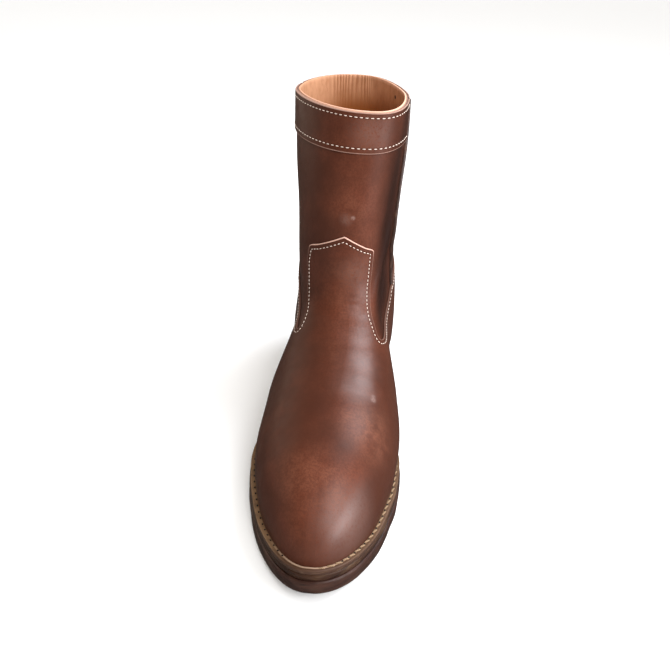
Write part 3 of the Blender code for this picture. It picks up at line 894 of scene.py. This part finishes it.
def piping(side, low):
    """A half-round section carried up the seam: across goes as cos and lift as sin of the angle round it,
    and each end closes on its own middle."""
    climb = np.linspace(low, UPPER_TOP, SEAM_ROWS)[:, None]
    angle = np.linspace(0, 2 * np.pi, SEAM_SIDES, endpoint=False)
    across, lift = -np.cos(angle), np.maximum(np.sin(angle), -0.15)
    end = np.concatenate([[0], np.ones(SEAM_ROWS - 2), [0]])[:, None]
    path = along(SEAM, side, climb)
    turn = (path if side == "medial" else 1 - path) + SEAM_HALF * across * end
    points, _ = face(turn, climb, PIPING * lift * end + OVERLAY_LIFT)
    return points, grid_faces(SEAM_ROWS, SEAM_SIDES, closed_round=True)


piping_finish = piping_leather()
for side, low in SEAM_FOOT.items():
    name = "side_seam_" + side
    piece(name, *piping(side, low), piping_finish, name, "side_seam")

# Collar bands.
# A strip of the upper's leather round the rim, in front of the side seams and behind them, sewn along both
# of its long edges, which are left raw.
BAND_LEVEL = 0.903
BAND_TOP = UPPER_TOP - 0.0008
BAND_RAW = 0.38
BAND_ROWS, BAND_COLUMNS = 40, 220
BAND_CLEAR = 0.0015
climb = np.linspace(BAND_LEVEL, BAND_TOP, BAND_ROWS)[:, None]
beside = SEAM_HALF + BAND_CLEAR
medial, lateral = along(SEAM, "medial", climb), along(SEAM, "lateral", climb)
spread = np.linspace(0, 1, BAND_COLUMNS)
band_turns = {
    "front": beside - lateral + (lateral + medial - 2 * beside) * spread,
    "back": medial + beside + (1 - lateral - medial - 2 * beside) * spread,
}
for end, turn in band_turns.items():
    points, faces, marks = overlay(turn, np.broadcast_to(climb, turn.shape), RIM_RAW, BAND_RAW)
    name = "collar_band_" + end
    piece(name, points, faces, upper_leather, name, "collar_band", burnt=burnt(points), **marks)

# Thread of the upper.
# Waxed cream thread, one row a few millimetres in from each sewn edge. Every stitch dives into its own
# hole at both ends.
THREAD_HALF = 0.29
VAMP_PITCH, COLLAR_PITCH = 2.95, 3.55
DASH_SHARE = 0.68
BOW_RISE, BOW_SINK = 1.1, 0.75
BAND_END = 0.015
STITCH_STEPS = np.linspace(-0.5, 0.5, 7)
STITCH_SIDES = 8
FACE_STEP = 0.001
CORNER_LEAST = 0.5
CREAM = (0.82, 0.69, 0.60, 1)
CREAM_SHADE = (0.58, 0.44, 0.36, 1)


def thread_finish(name, pale, shade, twist):
    """Twisted thread: pale and shaded by turns along a slant, matt."""
    material, tree, shader = new_material(name)
    inputs = {"Vector": object_place(tree), "Scale": twist, "Distortion": 1.5}
    strands = add(tree, "ShaderNodeTexWave", inputs, bands_direction="DIAGONAL").outputs["Fac"]
    colour = mixed(ramp(strands, 0.0, 0.8), shade, pale)
    fill(shader, {"Base Color": colour, "Roughness": 0.6, "Normal": raised(strands, 0.4, 0.0002)})
    return material


def inset(turn, level, by):
    """A line on the face moved in from an edge: each point goes to the left of the line's run by a length,
    and further where the line turns a corner."""
    points = skin(turn, level)
    normal = outward(points, level)
    step = FACE_STEP
    by_turn = (skin(turn + step, level) - skin(turn - step, level)) / (2 * step)
    by_level = (skin(turn, level + step) - skin(turn, level - step)) / (2 * step)
    run = np.diff(points, axis=0)
    run /= np.linalg.norm(run, axis=1, keepdims=True)
    run = np.concatenate([run[:1], run, run[-1:]])
    mean = run[:-1] + run[1:]
    cosine = np.linalg.norm(mean, axis=1, keepdims=True) / 2
    inward = np.cross(normal, mean / (2 * cosine)) * by / np.maximum(cosine, CORNER_LEAST)
    tt, tl, ll = (by_turn**2).sum(1), (by_turn * by_level).sum(1), (by_level**2).sum(1)
    to_turn, to_level = (inward * by_turn).sum(1), (inward * by_level).sum(1)
    det = tt * ll - tl**2
    return turn + (to_turn * ll - to_level * tl) / det, level + (to_level * tt - to_turn * tl) / det


def pills(points, normal, half):
    """Stitches as pills: points is stitches by steps, and a ring round each step shrinks to 0 at the ends."""
    run = np.gradient(points, axis=1)
    run /= np.linalg.norm(run, axis=-1, keepdims=True)
    side = np.cross(normal, run)
    step = np.linspace(-1, 1, points.shape[1])
    ring = half * np.sqrt(np.clip(1 - np.abs(step) ** 3, 0, 1))[:, None, None]
    angle = np.linspace(0, 2 * np.pi, STITCH_SIDES, endpoint=False)[:, None]
    around = np.cos(angle) * side[:, :, None] + np.sin(angle) * normal[:, :, None]
    points = points[:, :, None] + ring * around
    one = grid_faces(points.shape[1], STITCH_SIDES, closed_round=True)
    starts = np.arange(len(points)) * points.shape[1] * STITCH_SIDES
    return points, (starts[:, None, None] + one[None]).reshape(-1, 4)


def lengths(line):
    """Length along a line from its start to each of its points."""
    return np.concatenate([[0], np.cumsum(np.linalg.norm(np.diff(line, axis=0), axis=1))])


def dashes(whole, pitch, dash):
    """Lengths along a line at which its evenly spaced stitches go, with a row of steps for each stitch."""
    count = int(whole / pitch)
    return (np.arange(count) + 0.5)[:, None] * whole / count + dash * STITCH_STEPS


def bowed(half, rise, sink):
    """Lift of a stitch along its steps: it falls to its two holes as the fourth power of the step."""
    return half * (rise * (1 - (2 * STITCH_STEPS) ** 4) - sink)


def stitches(turn, level, pitch):
    """Pills spaced evenly along a line on a laid-on leather, each one bowed up from its two holes."""
    length = lengths(skin(turn, level))
    at = dashes(length[-1], pitch, DASH_SHARE * pitch)
    lift = OVERLAY_LIFT + OVERLAY + bowed(THREAD_HALF, BOW_RISE, BOW_SINK)
    points, normal = face(np.interp(at, length, turn), np.interp(at, length, level), lift)
    return pills(points, normal, THREAD_HALF)


def joined(parts):
    """Several meshes as one."""
    sizes = [np.reshape(points, (-1, 3)).shape[0] for points, _ in parts]
    starts = np.concatenate([[0], np.cumsum(sizes)[:-1]])
    points = np.concatenate([np.reshape(points, (-1, 3)) for points, _ in parts])
    return points, np.concatenate([faces + start for (_, faces), start in zip(parts, starts)])


cream_thread = thread_finish("cream_thread", CREAM, CREAM_SHADE, 900.0)
foot_edges = {"vamp_stitches": (vamp_turn, vamp_level), "counter_stitches": (counter_turn, counter_level)}
for name, (turn, level) in foot_edges.items():
    row = inset(turn[::-1], level[::-1], STITCH_INSET)
    piece(name, *stitches(*row, VAMP_PITCH), cream_thread)
rows = []
for turn in band_turns.values():
    low, high = (row + BAND_END * (row.mean() - row) for row in (turn[0], turn[-1]))
    rows.append(stitches(*inset(low, BAND_LEVEL + 0 * low, STITCH_INSET), COLLAR_PITCH))
    rows.append(stitches(*inset(high[::-1], BAND_TOP + 0 * high, STITCH_INSET), COLLAR_PITCH))
piece("collar_stitches", *joined(rows), cream_thread)

# Insole.
# A plate of natural leather inside the foot, over a filling that lies within the welt. Only the top of the
# plate can be seen, down the shaft.
INSOLE_PLATE = 3.0
INSOLE_CLEAR = 0.5
INSOLE_EASE = 0.6
PLUG_CLEAR = 0.3
WALL = 2.2
WELT_INSET = 4.0
MIDSOLE_SHARE = 0.80
SOLE_AROUND = 420
SPINE_END = 28.0
CAP_REACHES = (0.0, 0.25, 0.5, 0.75, 0.92)
WELT_EDGE = table("place show", [(0.00, 5.0), (0.40, 5.0), (0.60, 3.5), (0.75, 2.5), (1.00, 2.5)])
sole_turns = (np.arange(SOLE_AROUND) + 0.5) / SOLE_AROUND
feather_line = skin(sole_turns, 0.0)
show = along(WELT_EDGE, "show", place_of(feather_line[:, 1]))


def plan_normal(run):
    """Level unit normals to the right of a run: they point outwards where the line goes round the sole."""
    normal = np.stack([run[:, 1], -run[:, 0]], -1)
    return normal / np.linalg.norm(normal, axis=1, keepdims=True)


sole_normal = plan_normal(np.roll(feather_line, -1, 0) - np.roll(feather_line, 1, 0))


def sole_layer(rows, closed_over=False):
    """A layer of the sole from a section carried round it. A row of the section is how far it reaches from
    the spine to the edge, how far it then grows, the share of the sole's height, and a lift."""
    grow = np.stack([np.broadcast_to(row[1], SOLE_AROUND) for row in rows])
    reach, share, lift = (np.array([row[k] for row in rows])[:, None] for k in (0, 2, 3))
    plan = feather_line[None, :, :2] + sole_normal[None] * grow[..., None]
    low, high = feather_line[:, 1].min() + SPINE_END, feather_line[:, 1].max() - SPINE_END
    spine = np.stack([np.full(SOLE_AROUND, MIDDLE_X), np.clip(feather_line[:, 1], low, high)], -1)
    plan = spine + (plan - spine) * reach[..., None]
    base = underside(plan[..., 1])
    height = base + share * (feather(plan[..., 1]) - base) + lift
    points = np.concatenate([plan, height[..., None]], -1)
    return points, grid_faces(*points.shape[:2], closed_round=True, closed_over=closed_over)


def cap(grow, share, lift, inwards):
    """Rows of a section from the spine to near the edge, or back again."""
    reaches = CAP_REACHES[::-1] if inwards else CAP_REACHES
    return [(reach, grow, share, lift) for reach in reaches]


plate, plug = -WALL - INSOLE_CLEAR, -WELT_INSET - INSOLE_CLEAR
section = [
    *cap(plug, MIDSOLE_SHARE, PLUG_CLEAR, False),
    (1, plug, MIDSOLE_SHARE, PLUG_CLEAR),
    (1, plug, 1.0, 0.0),
    (1, plate, 1.0, 0.0),
    (1, plate, 1.0, INSOLE_PLATE - INSOLE_EASE),
    (1, plate - INSOLE_EASE, 1.0, INSOLE_PLATE),
    *cap(plate - INSOLE_EASE, 1.0, INSOLE_PLATE, True),
]
insole_leather = natural_leather("insole_leather", 0.35)
piece("insole", *sole_layer(section), insole_leather, "insole", "insole")

# Welt.
# A strip of pale leather sewn round the edge of the upper, flat on top, with its outer edge trimmed flush
# with the midsole and waxed.
WELT_TOP = -0.12
WELT_ROUND = 0.8
WELT_EASE = 0.4
LAYER_GAP = 0.1
# How far back from the toe's tip the welt is pale, how waxed its edge is there, and how much painted shade
# darkens its edge on the inner side
TOE_PALE = 14.0
TOE_WAX, INSIDE_SHADE = 0.95, 0.6
SIDE_ROWS = 4
WELT_TAN = (0.190, 0.108, 0.055, 1)
WELT_PALE = (0.470, 0.325, 0.230, 1)
WELT_DIRT_AND_SHADE = (0.045, 0.021, 0.012, 1)
WELT_SIDE = (0.058, 0.026, 0.015, 1)


def welt_leather():
    """Tan leather on top, pale beside the upper at the toe, brown with wax towards its edge at the toe and
    with painted shade there on the inner side, painted with the upper's shadow next to it, and stained in
    clouds and on its side."""
    material, tree, shader = new_material("welt_leather")
    place = object_place(tree)
    stains = ramp(cloud(place, 150.0, 4.0, 0.65), 0.42, 0.72)
    fibres = cloud(object_place(tree, (1, 1, 6)), 100.0, 5.0, 0.65)
    edge = marked(tree, "edge")
    colour = mixed(times(stains, 0.55), WELT_TAN, WELT_DIRT_AND_SHADE)
    # Towards its edge: wax at the toe, and painted shade on the inner side
    colour = mixed(times(ramp(edge, 1.7, 2.5, 1.0, 0.0), marked(tree, "wax_and_shade")), colour, WELT_SIDE)
    colour = mixed(times(ramp(edge, 1.9, 2.5, 0.0, 0.9), marked(tree, "raw")), colour, WELT_PALE)
    # Painted shadow of the upper, darkest next to it
    colour = mixed(ramp(edge, 3.5, 4.5, 0.0, 0.9), colour, WELT_DIRT_AND_SHADE)
    stained = mixed(ramp(fibres, 0.52, 0.78, 0.0, 0.7), WELT_SIDE, WELT_TAN)
    inputs = {
        "Base Color": mixed(marked(tree, "side"), colour, stained),
        "Roughness": 0.55,
        "Specular IOR Level": 0.3,
        "Normal": raised(cloud(place, 900.0, 4.0, 0.65), 0.35, 0.0003),
    }
    fill(shader, inputs)
    return material


# The section, with SIDE_ROWS rows up its side, and how far each row counts as being from the welt's edge
section = [
    (1, -WELT_INSET, MIDSOLE_SHARE, LAYER_GAP),
    (1, show - WELT_EASE, MIDSOLE_SHARE, LAYER_GAP),
    (1, show, MIDSOLE_SHARE, LAYER_GAP + WELT_EASE),
    (1, show, 1.0, WELT_TOP - WELT_ROUND),
    (1, show - 0.25 * WELT_ROUND, 1.0, WELT_TOP - 0.25 * WELT_ROUND),
    (1, show - WELT_ROUND, 1.0, WELT_TOP),
    (1, 0.6 * show, 1.0, WELT_TOP),
    (1, 0.3 * show, 1.0, WELT_TOP),
    (1, 0.0 * show, 1.0, WELT_TOP),
    (1, -WELT_INSET, 1.0, WELT_TOP),
]
from_edge = np.array([NO_EDGE, 4.0, 3.6, 0.8, 0.0, 0.3, 2.0, 3.4, 5.0, 6.0])[:, None]
points, faces = sole_layer(section, closed_over=True)
toe = np.exp(-(((feather_line[:, 1] - TOE_Y) / TOE_PALE) ** 2))
inside = np.where(sole_turns < 0.5, 1 - toe, 0.0)
marks = {
    "edge": from_edge,
    "side": (np.arange(len(section)) < SIDE_ROWS)[:, None],
    "raw": toe,
    "wax_and_shade": TOE_WAX * toe + INSIDE_SHADE * inside,
}
piece("welt", points, faces, welt_leather(), "welt", "welt", **marks)

# Thread of the welt.
# Heavy waxed thread in long stitches that lie aslant on the welt, close to the upper, between holes painted
# as dark pills of shade.
# They stand proud on the inner side. On the outer side they are sunk, and only the holes show.
WELT_PITCH, WELT_DASH, WELT_THREAD_HALF = 5.6, 5.2, 0.62
WELT_BOW_RISE, WELT_BOW_SINK = 1.05, 0.6
WELT_ROW = 0.48
SLANT = 0.9
HOLE_HALF, HOLE_DASH, HOLE_ROW = 0.6, 1.6, 2.3
HOLE_SINK = 0.06
HOLE_FRONT = 0.045
WELT_STITCH_TURN = 0.335
WELT_STITCH_POINTS = 1200
WELT_PROUD = table("turn proud", [(-0.335, -1.6), (-0.03, -1.6), (0.015, -0.60), (0.04, 0.05), (0.335, 0.05)])
WELT_THREAD = (0.36, 0.235, 0.135, 1)
WELT_THREAD_SHADE = (0.12, 0.068, 0.037, 1)
HOLE_SHADE_BROWN = (0.014, 0.007, 0.005, 1)
turn = np.linspace(-WELT_STITCH_TURN, WELT_STITCH_TURN, WELT_STITCH_POINTS)
line = skin(turn, 0.0)
across = plan_normal(np.gradient(line, axis=0))
length = lengths(line)


def on_welt(at, row, lift):
    """Points along the stitch line at these lengths, so far out across the welt and up from it."""
    x, y = (np.interp(at, length, line[:, k]) + row * np.interp(at, length, across[:, k]) for k in (0, 1))
    points = np.stack([x, y, feather(y) + WELT_TOP + lift], -1)
    return points, np.broadcast_to([0.0, 0.0, 1.0], points.shape)


def plain(name, colour, rough):
    """A material of one colour and one roughness."""
    material, _, shader = new_material(name)
    fill(shader, {"Base Color": colour, "Roughness": rough})
    return material


at = dashes(length[-1], WELT_PITCH, WELT_DASH)
wide = along(WELT_EDGE, "show", place_of(np.interp(at, length, line[:, 1])))
row = WELT_ROW * wide + SLANT * 2 * STITCH_STEPS
bow = bowed(WELT_THREAD_HALF, WELT_BOW_RISE, WELT_BOW_SINK)
proud = along(WELT_PROUD, "proud", np.interp(at, length, turn))
welt_thread = thread_finish("welt_thread", WELT_THREAD, WELT_THREAD_SHADE, 520.0)
piece("welt_stitches", *pills(*on_welt(at, row, bow + proud), WELT_THREAD_HALF), welt_thread)
at = np.arange(1, len(at)) * length[-1] / len(at)
at = at[np.abs(np.interp(at, length, turn)) > HOLE_FRONT, None] + HOLE_DASH * STITCH_STEPS
# Dark pills of painted shade stand for the stitch holes
welt_hole = plain("welt_hole", HOLE_SHADE_BROWN, 0.8)
piece("welt_holes", *pills(*on_welt(at, HOLE_ROW, -HOLE_SINK), HOLE_HALF), welt_hole)

# Midsole.
# A layer of sole leather under the welt, its edge trimmed, stained and waxed, and eased below to leave a
# groove over the outsole.
OUTSOLE_SHARE = 0.52
BEVEL = 1.2
MIDSOLE_BULGE = 0.15
MIDSOLE_EASE_IN, MIDSOLE_EASE_DOWN = 0.35, 0.5
EDGE_BROWN = (0.042, 0.0165, 0.0082, 1)
EDGE_TAN = (0.135, 0.074, 0.036, 1)
EDGE_DARK = (0.020, 0.0088, 0.0058, 1)


def sole_edge(name, brown, tan, dark, streaks):
    """Waxed edge of sole leather: fibres run along it as fine streaks, with worn tan and dark stains."""
    material, tree, shader = new_material(name)
    fibres = cloud(object_place(tree, (1, 1, 7)), 95.0, 5.0, 0.65)
    stains = cloud(object_place(tree, (1, 1, 2.5)), 40.0, 3.0, 0.55)
    colour = mixed(ramp(fibres, 0.38, 0.70), brown, dark)
    worn = times(ramp(stains, 0.48, 0.70), ramp(fibres, 0.30, 0.60))
    inputs = {
        "Base Color": mixed(times(worn, streaks), colour, tan),
        "Roughness": ramp(fibres, 0.3, 0.7, 0.36, 0.56),
        "Specular IOR Level": 0.3,
        "Coat Weight": 0.05,
        "Coat Roughness": 0.35,
        "Normal": raised(fibres, 0.35, 0.0005),
    }
    fill(shader, inputs)
    return material


section = [
    *cap(show - BEVEL, OUTSOLE_SHARE, LAYER_GAP, False),
    (1, show - BEVEL, OUTSOLE_SHARE, LAYER_GAP),
    (1, show - 0.5 * BEVEL, OUTSOLE_SHARE, 0.35 * BEVEL),
    (1, show, OUTSOLE_SHARE, BEVEL + 2 * LAYER_GAP),
    (1, show + MIDSOLE_BULGE, 0.5 * (OUTSOLE_SHARE + MIDSOLE_SHARE), 0.5 * BEVEL),
    (1, show, MIDSOLE_SHARE, -MIDSOLE_EASE_DOWN),
    (1, show - MIDSOLE_EASE_IN, MIDSOLE_SHARE, 0.0),
    *cap(show - WELT_EASE, MIDSOLE_SHARE, 0.0, True),
]
midsole_edge = sole_edge("midsole_edge", EDGE_BROWN, EDGE_TAN, EDGE_DARK, 0.6)
piece("midsole", *sole_layer(section), midsole_edge, "midsole", "midsole")

# Outsole.
# Thick sole leather, a little wider than the welt, sewn on through it. Its edge is rounded and waxed
# dark, and its underside is plain.
OUTSOLE_STEP = 1.0
OUTSOLE_BULGE = 0.2
OUTSOLE_BROWN = (0.040, 0.0145, 0.0095, 1)
OUTSOLE_TAN = (0.080, 0.036, 0.023, 1)
OUTSOLE_DARK = (0.018, 0.0078, 0.0058, 1)
out = show + OUTSOLE_STEP
section = [
    *cap(out - BEVEL, 0.0, 0.0, False),
    (1, out - BEVEL, 0.0, 0.0),
    (1, out - 0.35 * BEVEL, 0.0, 0.3 * BEVEL),
    (1, out, 0.0, BEVEL),
    (1, out + OUTSOLE_BULGE, 0.5 * OUTSOLE_SHARE, 0.0),
    (1, out, OUTSOLE_SHARE, -BEVEL),
    (1, out - 0.35 * BEVEL, OUTSOLE_SHARE, -0.3 * BEVEL),
    (1, out - BEVEL, OUTSOLE_SHARE, 0.0),
    *cap(out - BEVEL, OUTSOLE_SHARE, 0.0, True),
]
outsole_edge = sole_edge("outsole_edge", OUTSOLE_BROWN, OUTSOLE_TAN, OUTSOLE_DARK, 0.6)
piece("outsole", *sole_layer(section), outsole_edge, "outsole", "outsole")

# Heel.
# Lifts of sole leather glued and nailed into a stack, trimmed to a slight taper, on a top lift of black
# rubber that meets the floor.
HEEL_TURN = 0.328
HEEL_BACK, HEEL_BREAST = 220, 60
HEEL_TAPER = 2.0
TOP_LIFT = 6.5
LIFTS = 4
BREAST_BOW = 2.5
HEEL_CLEAR = 0.1
# Side of a lift: share of its height, and how far its edge is eased in
LIFT_SIDE = ((0.0, 0.35), (0.10, 0.0), (0.5, -0.05), (0.90, 0.0), (1.0, 0.35))
# Side of the top lift: how far its edge is eased in, and its height
TOP_LIFT_SIDE = ((0.9, 0.0), (0.5, 0.4), (0.0, TOP_LIFT - 0.5), (0.4, TOP_LIFT))
HEEL_REACHES = (0.0, 0.4, 0.8)
RUBBER_BLACK = (0.018, 0.014, 0.012, 1)
RUBBER_WORN = (0.045, 0.036, 0.030, 1)
back = np.linspace(HEEL_TURN, 1 - HEEL_TURN, HEEL_BACK)
heel_line = skin(back, 0.0)
heel_normal = plan_normal(skin(back + FACE_STEP, 0.0) - skin(back - FACE_STEP, 0.0))
heel_show = along(WELT_EDGE, "show", place_of(heel_line[:, 1]))[:, None]
share = np.linspace(0, 1, HEEL_BREAST + 2)[1:-1, None]


def heel_ring(grow):
    """The heel's outline seen from above: the sole's edge grown at the back, closed by a bowed breast."""
    arc = heel_line[:, :2] + heel_normal * (heel_show + grow)
    breast = arc[-1] + (arc[0] - arc[-1]) * share
    breast[:, 1] += BREAST_BOW * 4 * (share * (1 - share))[:, 0]
    return np.concatenate([arc, breast])


def heel_layer(rows):
    """A block from a section carried round the heel. A row is the reach from the middle, the growth of the
    outline, and the height as a function of y."""
    rings = []
    for reach, grow, height in rows:
        ring = heel_ring(grow)
        ring = ring.mean(0) + (ring - ring.mean(0)) * reach
        rings.append(np.column_stack([ring, height(ring[:, 1])]))
    points = np.stack(rings)
    return points, grid_faces(*points.shape[:2], closed_round=True)


def heel_height(share):
    """Height at a share of the stack, from the top lift to the outsole."""
    low = TOP_LIFT + HEEL_CLEAR
    return lambda y: low + share * (underside(y) - 1.5 * HEEL_CLEAR - low)


def rubber(name):
    """Black rubber, scuffed grey in fine scratches."""
    material, tree, shader = new_material(name)
    scratches = cloud(object_place(tree, (1, 1, 3)), 240.0, 4.0, 0.7)
    colour = mixed(ramp(scratches, 0.45, 0.75), RUBBER_BLACK, RUBBER_WORN)
    fill(shader, {"Base Color": colour, "Roughness": 0.6, "Normal": raised(scratches, 0.3, 0.0003)})
    return material


heel_grow = OUTSOLE_STEP - BEVEL
lift_grow = heel_grow - HEEL_TAPER
section = [(reach, lift_grow, heel_height(0)) for reach in HEEL_REACHES]
for lift in range(LIFTS):
    for share_up, ease in LIFT_SIDE:
        at = (lift + share_up) / LIFTS
        section.append((1, heel_grow - HEEL_TAPER * (1 - at) ** 2 - ease, heel_height(at)))
section += [(reach, heel_grow, heel_height(1)) for reach in HEEL_REACHES[::-1]]
heel_edge = sole_edge("heel_edge", EDGE_BROWN, EDGE_TAN, EDGE_DARK, 0.5)
piece("heel_stack", *heel_layer(section), heel_edge, "heel_stack", "heel_stack")

section = [(1, lift_grow - ease, lambda y, z=z: 0 * y + z) for ease, z in TOP_LIFT_SIDE]
bottom = [(reach, *section[0][1:]) for reach in HEEL_REACHES]
top = [(reach, *section[-1][1:]) for reach in HEEL_REACHES[::-1]]
heel_rubber = rubber("heel_rubber")
piece("heel_top_lift", *heel_layer(bottom + section + top), heel_rubber, "heel_top_lift", "heel_top_lift")

# Floor and light.
# A plain pale floor under soft daylight from the front and from above, with three windows on the inner side
# that give the leather its highlights and a warm, dim one on the outer side.
FLOOR_HALF = 12000.0
FLOOR_PALE = (0.96, 0.96, 0.96, 1)
corners = FLOOR_HALF * MM * np.array([(-1, -1, 0), (1, -1, 0), (1, 1, 0), (-1, 1, 0)], float)
mesh = bpy.data.meshes.new("floor")
mesh.from_pydata(corners, [], [(0, 1, 2, 3)])
mesh.materials.append(plain("floor", FLOOR_PALE, 0.9))
floor = bpy.data.objects.new("floor", mesh)
bpy.context.scene.collection.objects.link(floor)
floor.visible_glossy = False


def looking(eye, aim, roll=0.0):
    """Matrix that stands at eye and looks at aim, turned about the line of sight."""
    eye, aim = np.array(eye, float), np.array(aim, float)
    ahead = (aim - eye) / np.linalg.norm(aim - eye)
    right = np.cross(ahead, [0, 0, 1])
    right /= np.linalg.norm(right)
    up = np.cross(right, ahead)
    right, up = right * np.cos(roll) + up * np.sin(roll), up * np.cos(roll) - right * np.sin(roll)
    matrix = np.eye(4)
    matrix[:3] = np.column_stack([right, up, -ahead, eye])
    return matrix.T.tolist()


def hung(name, made, eye, aim, roll=0.0):
    """An object for a lamp or a camera, put at eye and aimed."""
    holder = bpy.data.objects.new(name, made)
    holder.matrix_world = looking(eye, aim, roll)
    bpy.context.scene.collection.objects.link(holder)
    return holder


WINDOW_AIM = (0.0, -0.03, 0.11)
# Soft suns: where they shine from, how wide they look, and their strength
SUNS = {
    "front": ((0.30, -0.85, 0.95), np.radians(35), 2.6),
    "above": ((0.05, 0.10, 1.00), np.radians(60), 0.90),
}
# Windows: where they are, in metres, their sides, their colour and their power in watts
WINDOWS = {
    "high": ((0.66, 0.24, 1.02), (0.6, 0.8), (0.90, 0.94, 1.0), 14.0),
    "fore": ((0.72, -0.51, 0.85), (0.35, 0.5), (0.95, 0.97, 1.0), 3.6),
    "inner": ((1.00, -0.36, 0.22), (0.80, 0.42), (0.95, 0.97, 1.0), 7.5),
    "outer": ((-0.95, 0.50, 0.40), (0.9, 0.8), (1.0, 0.86, 0.70), 3.2),
}
SURROUND = (1.0, 0.91, 0.78, 1)
SURROUND_STRENGTH = 0.15
for name, (eye, wide, strength) in SUNS.items():
    light = bpy.data.lights.new(name, "SUN")
    light.angle = wide
    light.energy = strength
    hung(name, light, eye, (0, 0, 0)).visible_glossy = False
for name, (eye, sides, colour, power) in WINDOWS.items():
    light = bpy.data.lights.new(name, "AREA")
    light.shape = "RECTANGLE"
    light.size, light.size_y = sides
    light.color = colour
    light.energy = power
    hung(name, light, eye, WINDOW_AIM)
world = bpy.data.worlds.new("surround")
world.use_nodes = True
fill(world.node_tree.nodes["Background"], {"Color": SURROUND, "Strength": SURROUND_STRENGTH})
bpy.context.scene.world = world
bpy.context.scene.view_settings.view_transform = "Standard"

# Camera.
# It stands close in front of the boot and somewhat over its rim, a little to the inner side, and is rolled
# as the photograph is.
CAMERA_EYE = (0.0308, -0.4497, 0.3836)
CAMERA_AIM = (0.0, 0.0, 0.130)
CAMERA_ROLL = np.radians(1.87)
IMAGE_SIDE = 670
FOCAL_PIXELS = 740
FRAME_DROP = 39
SENSOR = 36.0
view = bpy.data.cameras.new("camera")
view.sensor_width = SENSOR
view.lens = FOCAL_PIXELS / IMAGE_SIDE * SENSOR
view.shift_y = -FRAME_DROP / IMAGE_SIDE
view.clip_start = 0.01
bpy.context.scene.camera = hung("camera", view, CAMERA_EYE, CAMERA_AIM, CAMERA_ROLL)
